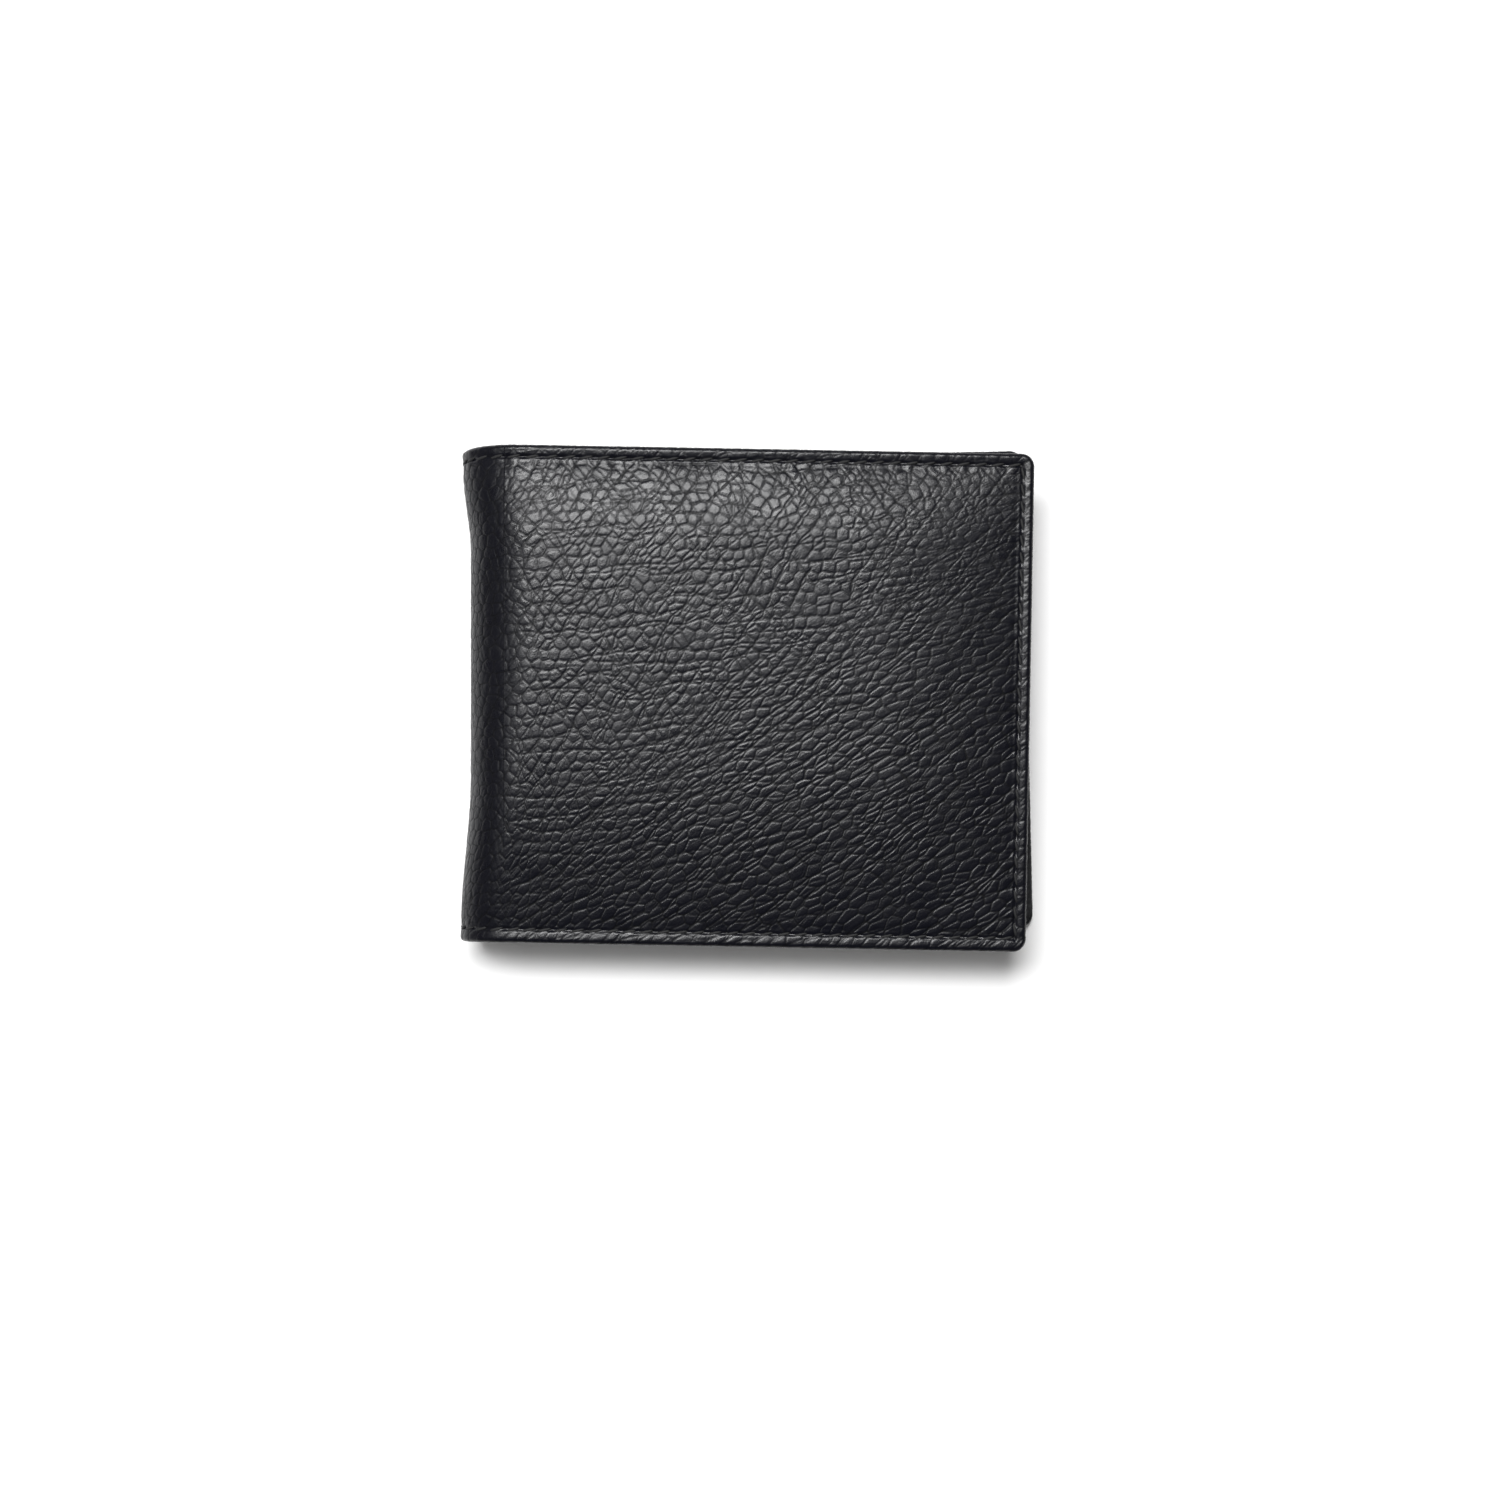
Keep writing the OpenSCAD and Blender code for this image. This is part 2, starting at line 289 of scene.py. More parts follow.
def blend(value: Array, start: float, end: float) -> Array:
    """A smooth step from 0 where the value is start to 1 where it is end."""
    return ease((value - start) / (end - start))


def bump(value: Array, middle: float, width: float) -> Array:
    """A smooth bump, 1 at the middle and falling away over about the width on each side."""
    return np.exp(-(((value - middle) / width) ** 2))


def scatter(seed: int, *cells: Array) -> Array:
    """Gives each whole-number cell its own number.

    Args:
        seed: Picks one of many patterns.
        cells: One or more arrays of whole numbers that name the cell.

    Returns:
        Numbers from 0 to 1, the same on every run.
    """
    mask = np.uint64(0xFFFFFFFF)
    mixed = np.full(np.broadcast(*cells).shape, (seed * 2654435761) & 0xFFFFFFFF, np.uint64)
    for cell in cells:
        whole = (np.asarray(cell).astype(np.int64) & 0xFFFFFFFF).astype(np.uint64)
        mixed = ((mixed ^ whole) * np.uint64(2246822519)) & mask
        mixed = mixed ^ (mixed >> np.uint64(13))
        mixed = (mixed * np.uint64(3266489917)) & mask
        mixed = mixed ^ (mixed >> np.uint64(16))
    return mixed.astype(np.float64) / float(0xFFFFFFFF)


def row_noise(row: Array, along: Array, length: float, seed: int) -> Array:
    """Noise along a line, different for each numbered row.

    Args:
        row: Whole number of each point's row.
        along: Distance along the row.
        length: Distance between the noise's own values.
        seed: Picks the pattern.

    Returns:
        Numbers from -1 to 1.
    """
    step = along / length
    cell = np.floor(step)
    low, high = scatter(seed, row, cell), scatter(seed, row, cell + 1)
    return 2.0 * (low + (high - low) * ease(step - cell)) - 1.0


def noise(x: Array, y: Array, size: float, seed: int) -> Array:
    """Smooth noise over the plane, from -1 to 1, with features about size across."""
    gx, gy = x / size, y / size
    cx, cy = np.floor(gx), np.floor(gy)
    tx, ty = ease(gx - cx), ease(gy - cy)
    low = scatter(seed, cx, cy) * (1 - tx) + scatter(seed, cx + 1, cy) * tx
    high = scatter(seed, cx, cy + 1) * (1 - tx) + scatter(seed, cx + 1, cy + 1) * tx
    return 2.0 * (low * (1 - ty) + high * ty) - 1.0


def ripples(x: Array, y: Array, size: float, seed: int, octaves: int = 3) -> Array:
    """Noise with finer and finer detail added, from about -1 to 1."""
    total, share = np.zeros(np.broadcast(x, y).shape), 0.5
    for k in range(octaves):
        total = total + share * noise(x, y, size / 2**k, seed + 31 * k)
        share *= 0.5
    return total


# ---- Leather grain -----------------------------------------------------------


@dataclass(frozen=True)
class CreaseFamily:
    """Long thin creases that run roughly side by side across the leather.

    Angles are in degrees and distances in millimetres. The drift moves all creases of the family
    together, and the stagger, waver and tremble move each one by a share of the spacing.
    """

    angle: float
    spacing: float
    width: float
    seed: int
    waver: float = 0.3
    run: float = 7.0
    kept: float = 0.6
    breaks: float = 1.1
    drift: float = 0.8
    drift_size: float = 9.0
    stagger: float = 0.22
    waver_length: float = 4.2
    tremble: float = 0.07
    tremble_length: float = 1.3
    valley: float = 2.8

    def grooves(self, u: Array, v: Array) -> tuple[Array, Array]:
        """How deep each point lies in a crease, and in the soft hollow along it, from 0 to 1."""
        turn = math.radians(self.angle)
        along = u * math.cos(turn) + v * math.sin(turn)
        across = v * math.cos(turn) - u * math.sin(turn)
        across = across + self.drift * noise(u, v, self.drift_size, self.seed + 5)
        place = across / self.spacing
        nearest = np.round(place)
        sharp, soft = np.zeros(u.shape), np.zeros(u.shape)
        for k in (-1, 0, 1):
            row = nearest + k
            centre = row + self.stagger * (2 * scatter(self.seed + 3, row) - 1)
            centre = centre + self.waver * row_noise(row, along, self.waver_length, self.seed)
            centre = centre + self.tremble * row_noise(row, along, self.tremble_length, self.seed + 1)
            depth = ease(self.kept + self.breaks * row_noise(row, along, self.run, self.seed + 2))
            away = np.abs(place - centre) * self.spacing
            sharp = np.maximum(sharp, depth * bump(away, 0.0, self.width))
            soft = np.maximum(soft, depth * np.exp(-away / (self.valley * self.width)))
        return sharp, soft


@dataclass(frozen=True)
class PebbleCells:
    """Rounded pebbles packed like a honeycomb, with a groove between each one and the next.

    Here and there the groove is double: a twin runs beside it at the twin gap.
    """

    size: float
    width: float
    seed: int
    jitter: float = 0.3
    dome: float = 0.3
    row_step: float = 0.866
    twin_gap: float = 0.38
    twin_width: float = 0.8
    twin_depth: float = 0.7
    twin_share: float = 0.25
    twin_breaks: float = 1.5

    def grooves(self, u: Array, v: Array) -> tuple[Array, Array]:
        """How deep each point lies in a groove, and in the valley round its pebble, from 0 to 1."""
        x, y = u / self.size, v / (self.size * self.row_step)
        level = np.floor(y)
        first, second = np.full(u.shape, np.inf), np.full(u.shape, np.inf)
        for j in (-1, 0, 1):
            row = level + j
            shifted = x - 0.5 * np.mod(row, 2.0)
            column = np.floor(shifted)
            for i in (-1, 0, 1):
                px = column + i + 0.5 + self.jitter * (2 * scatter(self.seed, column + i, row) - 1)
                py = row + 0.5 + self.jitter * (2 * scatter(self.seed + 1, column + i, row) - 1)
                away = np.hypot(shifted - px, (y - py) * self.row_step)
                second = np.minimum(second, np.maximum(first, away))
                first = np.minimum(first, away)
        away = (second - first) * self.size / 2
        line = bump(away, 0.0, self.width)
        patches = noise(u, v, 1.1 * self.size, self.seed + 7)
        doubled = ease(self.twin_share + self.twin_breaks * patches)
        twin = doubled * bump(away, self.twin_gap, self.twin_width * self.width)
        return np.maximum(line, self.twin_depth * twin), np.exp(-away / self.dome)


@dataclass(frozen=True)
class PebbledGrain:
    """The tumbled grain of the cover leather, in flat leather coordinates.

    Pebbles lie everywhere. Three families of creases cross at the head and the fold side, two more
    run out long and slanted towards the lower fore corner, and two run up the leather where it is
    bent round the fold.
    """

    cut: float = 0.080
    hollow: float = 0.080
    swell: float = 0.02
    pebbles: PebbleCells = PebbleCells(2.5, 0.11, 11)
    small: PebbleCells = PebbleCells(1.2, 0.1, 23, dome=0.25)
    level: CreaseFamily = CreaseFamily(4.0, 2.3, 0.09, 41, waver=0.24, run=9.0, kept=0.68)
    steep: CreaseFamily = CreaseFamily(57.0, 2.4, 0.09, 53, waver=0.24, run=8.0, kept=0.6)
    falling: CreaseFamily = CreaseFamily(-51.0, 2.4, 0.09, 67, waver=0.24, run=8.0, kept=0.6)
    drawn: CreaseFamily = CreaseFamily(37.0, 2.1, 0.13, 79, waver=0.24, run=9.0, kept=0.62)
    shallow: CreaseFamily = CreaseFamily(12.0, 2.4, 0.12, 83, waver=0.24, run=7.0, kept=0.55)
    bent: tuple[CreaseFamily, CreaseFamily] = (
        CreaseFamily(68.0, 1.9, 0.12, 97, run=5.0),
        CreaseFamily(112.0, 1.9, 0.12, 101, run=5.0),
    )
    pull_angle: float = 33.0
    pull_start: float = 12.0
    squeeze: float = 0.36
    squeeze_reach: float = 22.0
    draw: float = 0.3
    draw_reach: float = 42.0
    still_at: float = 34.0
    swirl: float = 1.3

    def pulled(self, u: Array, v: Array) -> tuple[Array, Array]:
        """Squeezes the leather across its pull, more and more towards the lower fore corner."""
        turn = math.radians(self.pull_angle)
        along = u * math.cos(turn) + v * math.sin(turn)
        across = u * math.sin(turn) - v * math.cos(turn)
        reach = np.maximum(across - self.pull_start, 0.0)
        across = across + self.squeeze * reach * reach / (reach + self.squeeze_reach)
        drawn_out = 1.0 - self.draw * ease(reach / self.draw_reach)
        along = self.still_at + (along - self.still_at) * drawn_out
        x = along * math.cos(turn) + across * math.sin(turn)
        y = along * math.sin(turn) - across * math.cos(turn)
        return x + self.swirl * ripples(u, v, 13.0, 7), y + ripples(u, v, 12.0, 9)

    def relief(self, u: Array, v: Array) -> tuple[Array, Array]:
        """Works out the grain at points on the flat leather.

        Args:
            u: Distance from the front fold, towards the front fore edge.
            v: Distance from the middle of the wallet's height, towards the head.

        Returns:
            The height of the surface in millimetres, and how creased it is from 0 to 1.
        """
        # Shares from 0 to 1: towards the lower fore corner, over the fold's two bends, past the fold.
        to_corner = blend(u * 0.55 - v * 0.8, 4.0, 56.0)
        bend = np.maximum(*(blend(np.abs(u + middle), 9.0, 3.0) for middle in (4.0, 24.0)))
        past_fold = blend(u, 2.0, -6.0)
        flatter = 1.0 - 0.6 * bend
        crossing = (1.0 - blend(to_corner, 0.3, 0.9)) * flatter
        slanted = ease(to_corner / 0.6) * flatter
        upward = 0.32 * bend + 0.12 * past_fold * (1.0 - bend)
        pu, pv = self.pulled(u, v)
        # Each kind of groove with its weight; a weight is how much of the full depth it reaches.
        parts = [
            (self.pebbles.grooves(pu, pv), 0.88 - 0.1 * crossing - 0.1 * bend),
            (self.small.grooves(pu, pv), 0.13),
            (self.level.grooves(u, pv), 0.82 * crossing),
            (self.steep.grooves(pu, pv), 0.76 * crossing),
            (self.falling.grooves(pu, v), 0.76 * crossing),
            (self.drawn.grooves(u, v), 0.9 * slanted),
            (self.shallow.grooves(u, v), 0.6 * slanted),
        ]
        parts += [(family.grooves(u, v), upward) for family in self.bent]
        clear, flat = np.ones(u.shape), np.ones(u.shape)
        for (sharp, soft), weight in parts:
            weight = np.clip(weight, 0.0, 1.0)
            clear = clear * (1.0 - sharp * weight)
            flat = flat * (1.0 - 0.75 * soft * weight)
        crease, dip = 1.0 - clear, (1.0 - flat) * (1.0 - 0.3 * to_corner)
        calm_head = 0.26 * blend(u, 58.0, 88.0) * blend(v, -34.0, 6.0)
        depth = (1.0 + 0.14 * to_corner) * (1.0 - calm_head)
        height = -depth * (self.cut * crease + self.hollow * dip)
        return height + self.swell * ripples(u, v, 3.2, 19), crease


# ---- The two halves and their shape ------------------------------------------


@dataclass(frozen=True)
class Half:
    """One half of the wallet: where it lies, and its own turn and slip on the fold.

    The turn, in degrees, takes hold over the first stretch from the fold, so that the fold stays
    straight.
    """

    name: str
    width: float
    turn: float
    slip: float
    side: int
    turn_in: float = 12.0

    @property
    def body(self) -> str:
        """The moving body that carries this half."""
        return f"{self.name}_half"

    def place(self, x: Array, y: Array, z: Array) -> Array:
        """Puts points of the half's own frame into the wallet's frame.

        Args:
            x: Distance from the fold.
            y: Distance towards the head.
            z: Height above the meeting plane.

        Returns:
            Points in millimetres, with a last axis of three.
        """
        turn = math.radians(self.turn)
        across = x * math.cos(turn) - y * math.sin(turn) * ease(x / self.turn_in)
        along = x * math.sin(turn) + y * math.cos(turn) - self.slip
        return np.stack([SIZES.fold_x + across, along, SIZES.half_t + self.side * z], axis=-1)

    def flat_place(self, point: Vector) -> tuple[float, float]:
        """The half's own x and y of a place given in metres, away from the fold."""
        turn = math.radians(self.turn)
        x, y = point.x / MM - SIZES.fold_x, point.y / MM + self.slip
        return x * math.cos(turn) + y * math.sin(turn), y * math.cos(turn) - x * math.sin(turn)


FRONT = Half("front", width=100.2, turn=-1.05, slip=0.0, side=1)
BACK = Half("back", width=102.2, turn=1.3, slip=0.9, side=-1)


def rise(away: Array, slope: float) -> Array:
    """Share of the crown's height reached at a distance from a padded edge."""
    t = np.clip(away / slope, 0.0, 1.0)
    return 1.0 - (1.0 - t) ** SIZES.crown_round


def across_rise(y: Array) -> Array:
    """How much of the crown shows at a place along the wallet's height."""
    half_h = SIZES.cover_h / 2 - SIZES.rim_w
    return rise(half_h + y, SIZES.foot_slope) * rise(half_h - y, SIZES.head_slope)


def shoulder_x(y: Array) -> Array:
    """Where the cover's face starts to turn down over the fold; it comes nearer at both ends."""
    return 6.0 - 2.6 * blend(y, 22.0, 46.0) - 5.2 * blend(y, 14.0, -42.0)


def fold_reach(y: Array) -> Array:
    """How far the spine stands out from the fold line; it flares towards the head and the foot."""
    flare = SIZES.head_flare * blend(y, 28.0, 44.0) + SIZES.foot_flare * blend(y, -16.0, -44.0)
    return SIZES.spine_bulge + flare


def edge_roll(s: Array) -> tuple[Array, Array]:
    """Rolls the skin's last stretch round the turned edge.

    Args:
        s: Distance along the skin from its hidden end.

    Returns:
        How far in from the edge each point lies, and how far below the rim's face.
    """
    r = SIZES.bead_r
    phi = np.clip((SIZES.bead_end - s) / r, 0.0, math.pi)
    inset = r * (1.0 - np.sin(phi)) + np.maximum(SIZES.bead_tail - s, 0.0)
    inset = np.where(s >= SIZES.bead_end, s - SIZES.wrap, inset)
    return inset, r * (1.0 - np.cos(phi))


def round_corners(
    a: Array, b: Array, reach: float, half_h: float, radius: float, patch: float
) -> tuple[Array, Array]:
    """Draws a square grid's two fore corners into rounded ones.

    Args:
        a: Distance from the fold.
        b: Distance from the middle of the height.
        reach: Where the fore edge is.
        half_h: Where the head and foot edges are.
        radius: Radius of the corners.
        patch: Size of the square round each corner that gives way.

    Returns:
        The two distances, drawn in.
    """
    px, py = a - (reach - patch), np.abs(b) - (half_h - patch)
    inside = (px > 0) & (py > 0)
    size = np.hypot(px, py) + 1e-9
    dx, dy = px / size, py / size
    square = patch / np.maximum(np.maximum(dx, dy), 1e-6)
    centre = patch - radius
    dot = (dx + dy) * centre
    arc = dot + np.sqrt(np.maximum(dot**2 - 2 * centre * centre + radius * radius, 0.0))
    rounded = np.where(square * np.minimum(dx, dy) > centre, arc, square)
    # Points near the patch's inner corner hardly move, so that the grid stays even there.
    weight = (np.maximum(px, py) / patch) ** 4
    scale = np.where(inside, 1.0 + (rounded / square - 1.0) * weight, 1.0)
    out_a = np.where(inside, reach - patch + px * scale, a)
    out_b = np.where(inside, np.sign(b) * (half_h - patch + py * scale), b)
    return out_a, out_b


@dataclass(frozen=True)
class Thread:
    """How one seam's stitches look: millimetres, and degrees for the slant."""

    pitch: float = 3.25
    length: float = 2.75
    width: float = 0.62
    slant: float = 13.0
    sink: float = 0.2

    @property
    def half_size(self) -> Vector:
        """Half the length, width and height of one stitch, which is a little flattened."""
        return Vector((self.length / 2, self.width / 2, self.width / 2.6))


@dataclass(frozen=True)
class EdgeSeam:
    """The lock-stitched seam just inside the turned edge, and how far in it runs on each side."""

    head: float
    fore: float
    foot: float
    thread: Thread = Thread()
    channel_w: float = 0.32
    channel_depth: float = 0.13
    stitch_pull: float = 0.2
    shelf_w: float = 0.7
    shelf_depth: float = 0.08
    bead_rise: float = 0.115
    bead_swell: float = 0.05
    edge_grain: float = 0.7

    def relief(self, inset: Array, seam: Array, along: Array) -> Array:
        """The channel, the bead beside it and the pull of each stitch.

        Args:
            inset: Distance in from the edge.
            seam: How far in the seam lies here.
            along: Distance along the seam.

        Returns:
            Height in millimetres.
        """
        pull = 0.5 + 0.5 * np.cos(2 * math.pi * along / self.thread.pitch)
        channel = bump(inset, seam, self.channel_w) * (self.channel_depth + self.stitch_pull * pull)
        shelf = bump(inset, seam + 1.0, self.shelf_w) * self.shelf_depth
        bead = bump(inset, 0.35 * seam, 0.36 * seam)
        return bead * (self.bead_rise + self.bead_swell * (1.0 - pull)) - channel - shelf * pull

    def grain_share(self, inset: Array, seam: Array) -> Array:
        """How much of the grain shows: the leather is drawn smooth over the turned edge."""
        return self.edge_grain + (1.0 - self.edge_grain) * ease((inset - 0.75 * seam) / 2.0)


@dataclass(frozen=True)
class CoverShape:
    """The leather skin of one padded cover, from flat leather to the finished form."""

    half: Half
    seam: EdgeSeam
    corner_patch: float = 9.0

    @property
    def outward(self) -> int:
        """Which way the skin faces, up or down."""
        return self.half.side

    @property
    def far(self) -> tuple[float, float]:
        """The flat skin's reach past the fold and its half height."""
        return self.half.width + SIZES.wrap, SIZES.cover_h / 2 + SIZES.wrap

    @property
    def spans(self) -> Span:
        """The flat skin's reach from the fold and along the height."""
        reach, half_h = self.far
        return (0.0, reach), (-half_h, half_h)

    def grain_u(self, u: Array) -> Array:
        """Distance along the whole skin, from the front fold."""
        return u if self.half is FRONT else -SIZES.fold_length - u

    def rounded(self, u: Array, v: Array) -> tuple[Array, Array]:
        """Draws the square grid's corners into the cover's rounded ones."""
        return round_corners(u, v, *self.far, SIZES.corner_r + SIZES.wrap, self.corner_patch)

    def edge(self, a: Array, b: Array) -> tuple[Array, Array, Array]:
        """Finds the flat skin's rounded outline.

        Args:
            a: Distance from the fold.
            b: Distance from the middle of the height.

        Returns:
            The distance to the outline, and the two parts of the direction out to it.
        """
        reach, half_h = self.far
        r = SIZES.corner_r + SIZES.wrap
        dx, dy = reach - a, half_h - np.abs(b)
        qx, qy = r - dx, r - dy
        corner = (qx > 0) & (qy > 0)
        size = np.hypot(qx, qy) + 1e-9
        fore = dx < dy
        s = np.where(corner, r - size, np.minimum(dx, dy))
        nx = np.where(corner, qx / size, np.where(fore, 1.0, 0.0))
        ny = np.where(corner, qy / size, np.where(fore, 0.0, 1.0)) * np.sign(b)
        return s, nx, ny

    def face(self, x: Array, y: Array) -> Array:
        """Height of the cover's smooth face above the meeting plane."""
        fore = rise(self.half.width - SIZES.rim_w - x, SIZES.fore_slope)
        top = SIZES.rim_top + SIZES.crown_rise * fore * across_rise(y)
        shoulder = shoulder_x(y)
        over = np.maximum(shoulder - x, 0.0) / (fold_reach(y) + shoulder)
        return top * np.sqrt(np.maximum(1.0 - over**2, 0.0))

    def surface(self, u: Array, v: Array) -> Array:
        """Places flat leather coordinates on the smooth cover, in millimetres."""
        a, b = self.rounded(u, v)
        s, nx, ny = self.edge(a, b)
        inset, drop = edge_roll(s)
        shift = s - SIZES.wrap - inset
        x, y = a + nx * shift, b + ny * shift
        return self.half.place(x, y, self.face(x, y) - drop)

    def seam_relief(self, u: Array, v: Array) -> tuple[Array, Array]:
        """Height that the edge seam adds, stitches counted from the fold, and the grain's share."""
        a, b = self.rounded(u, v)
        s, nx, _ = self.edge(a, b)
        half_h = SIZES.cover_h / 2
        level = np.abs(nx) < 0.7
        along = np.where(level, a, self.half.width + np.sign(b) * (half_h - np.abs(b)))
        ends = np.where(b > 0, self.seam.head, self.seam.foot)
        seam = np.where(level, ends, self.seam.fore)
        inset = s - SIZES.wrap
        return self.seam.relief(inset, seam, along), self.seam.grain_share(inset, seam)


@dataclass(frozen=True)
class SpineShape:
    """The leather skin round the fold, from the front cover to the back cover."""

    seam: EdgeSeam
    outward: int = 1

    @property
    def half_h(self) -> float:
        """Half the flat skin's height."""
        return SIZES.cover_h / 2 + SIZES.wrap

    @property
    def spans(self) -> Span:
        """The flat skin's reach round the fold and along the height."""
        return (-SIZES.fold_length, 0.0), (-self.half_h, self.half_h)

    def grain_u(self, u: Array) -> Array:
        """Distance along the whole skin, which is the spine's own."""
        return u

    def surface(self, u: Array, v: Array) -> Array:
        """Places flat leather coordinates round the spine, in millimetres.

        From each fold the skin runs flat to the shoulder, where that lies past the fold, and then
        round a quarter of an ellipse to the spine's outermost line.
        """
        share = -u / SIZES.fold_length
        inset, drop = edge_roll(self.half_h - np.abs(v))
        y = np.sign(v) * (SIZES.cover_h / 2 - inset)
        shoulder, reach = shoulder_x(y), fold_reach(y) + shoulder_x(y)
        high = SIZES.rim_top + SIZES.crown_rise * across_rise(y)
        start = np.arcsin(np.maximum(shoulder, 0.0) / reach)
        flat = np.maximum(-shoulder, 0.0)
        mean = np.sqrt((reach**2 + high**2) / 2)
        quarter = flat + (math.pi / 2 - start) * mean
        from_fold = (1.0 - np.abs(1.0 - 2.0 * share)) * quarter
        angle = start + (from_fold - flat) / mean
        on_arc = from_fold >= flat
        turned = np.where(share <= 0.5, angle, math.pi - angle)
        side = np.where(share <= 0.5, 1.0, -1.0)
        nx, nz = -np.sin(turned) / reach, np.cos(turned) / high
        size = np.hypot(nx, nz)
        arc_x = shoulder - reach * np.sin(turned) - drop * nx / size
        arc_z = high * np.cos(turned) - drop * nz / size
        x = np.where(on_arc, arc_x, -from_fold)
        z = np.where(on_arc, arc_z, side * (high - drop))
        y = y - BACK.slip * ease(share)
        return np.stack([SIZES.fold_x + x, y, SIZES.half_t + z], axis=-1)

    def seam_relief(self, u: Array, v: Array) -> tuple[Array, Array]:
        """Height that the edge seam adds where it crosses the spine, and the grain's share."""
        inset = self.half_h - np.abs(v) - SIZES.wrap
        ends = np.where(v > 0, self.seam.head, self.seam.foot)
        return self.seam.relief(inset, ends, u), self.seam.grain_share(inset, ends)


# ---- Meshes ------------------------------------------------------------------


def directions(points: Array) -> Array:
    """Unit normals of a grid of points, by differences along both ways."""
    normal = np.cross(np.gradient(points, axis=1), np.gradient(points, axis=0))
    return normal / (np.linalg.norm(normal, axis=-1, keepdims=True) + 1e-12)


def steps_in(span: tuple[float, float], pitch: float) -> int:
    """How many steps of about the pitch fill a span."""
    return max(2, int(round((span[1] - span[0]) / pitch)))


def grid_bmesh(cols: int, rows: int) -> tuple[bmesh.types.BMesh, Array, Array]:
    """Makes a flat grid of faces and tells which column and row each vertex is in."""
    bm = bmesh.new()
    bmesh.ops.create_grid(bm, x_segments=cols, y_segments=rows, size=0.5)
    share = np.array([v.co[:2] for v in bm.verts]) + 0.5
    ix = np.rint(share[:, 0] * cols).astype(int)
    iy = np.rint(share[:, 1] * rows).astype(int)
    return bm, ix, iy


def finish_object(name: str, mesh: bpy.types.Mesh, finish: bpy.types.Material) -> bpy.types.Object:
    """Adds a finished mesh to the scene with one material."""
    mesh.materials.append(finish)
    obj = bpy.data.objects.new(name, mesh)
    bpy.context.scene.collection.objects.link(obj)
    return obj


def set_places(bm: bmesh.types.BMesh, places: Array, outward: int) -> None:
    """Moves a grid's vertices to places given in millimetres, and turns its faces outwards."""
    for vert, place in zip(bm.verts, places * MM):
        vert.co = place
    if outward < 0:
        bmesh.ops.reverse_faces(bm, faces=bm.faces)


def finish_mesh(name: str, bm: bmesh.types.BMesh) -> bpy.types.Mesh:
    """Turns a bmesh into a smooth-shaded mesh, and frees the bmesh."""
    mesh = bpy.data.meshes.new(name)
    bm.to_mesh(mesh)
    bm.free()
    mesh.shade_smooth()
    return mesh


@dataclass(frozen=True)
class SkinGrid:
    """A skin of leather drawn from flat coordinates, with its grain in the mesh."""

    name: str
    shape: CoverShape | SpineShape
    pitch: float

    def build(
        self, grain: PebbledGrain, finish: bpy.types.Material, wall: float | None
    ) -> bpy.types.Object:
        """Makes the skin.

        Args:
            grain: The leather's grain.
            finish: The leather's material.
            wall: Height in millimetres of the hidden underside, or None to leave the skin open.

        Returns:
            The new object, with its normals set from the whole grain.
        """
        counts = [steps_in(span, self.pitch) for span in self.shape.spans]
        bm, ix, iy = grid_bmesh(*counts)
        # One more step past every side gives the skin's own edge its true slope; it is cut off again.
        u, v = np.meshgrid(*(
            low + (high - low) / count * np.arange(-1, count + 2)
            for (low, high), count in zip(self.shape.spans, counts)
        ))
        smooth, outward = self.shape.surface(u, v), self.shape.outward
        relief, crease = grain.relief(self.shape.grain_u(u), v)
        edge_relief, share = self.shape.seam_relief(u, v)
        relief, crease = relief * share + edge_relief, crease * share
        points = smooth + directions(smooth) * (outward * relief)[..., None]
        normals = directions(points) * outward
        inner = (slice(1, -1), slice(1, -1))
        set_places(bm, points[inner][iy, ix], outward)
        if wall is not None:
            self.close_under(bm, wall * MM)
        mesh = finish_mesh(self.name, bm)
        count = len(ix)
        # How creased each point is; the cover's finish paints shade into the creases from it.
        values = np.zeros(len(mesh.vertices), np.float32)
        values[:count] = crease[inner][iy, ix]
        mesh.attributes.new("crease", "FLOAT", "POINT").data.foreach_set("value", values)
        own = np.array([p.normal for p in mesh.vertices])
        own[:count] = normals[inner][iy, ix]
        mesh.normals_split_custom_set_from_vertices(own)
        return finish_object(self.name, mesh, finish)

    @staticmethod
    def close_under(bm: bmesh.types.BMesh, wall: float) -> None:
        """Closes the skin with a hidden flat underside at the height of its rolled edges."""
        open_edges = [e for e in bm.edges if e.is_boundary]
        grown = bmesh.ops.extrude_edge_only(bm, edges=open_edges)["geom"]
        for vert in (g for g in grown if isinstance(g, bmesh.types.BMVert)):
            vert.co.z = wall
        rim = [e for e in grown if isinstance(e, bmesh.types.BMEdge) and e.is_boundary]
        bmesh.ops.edgeloop_fill(bm, edges=rim)


def piece_of_many(name: str, places: list[Matrix], finish: bpy.types.Material) -> bpy.types.Object:
    """Makes one mesh of small rounded bodies, one at each place.

    Args:
        name: The piece's name.
        places: Where each body is, how it turns and how big it is, in metres.
        finish: The material.

    Returns:
        The new object.
    """
    bm = bmesh.new()
    for place in places:
        bmesh.ops.create_uvsphere(bm, u_segments=8, v_segments=6, radius=1.0, matrix=place)
    return finish_object(name, finish_mesh(name, bm), finish)


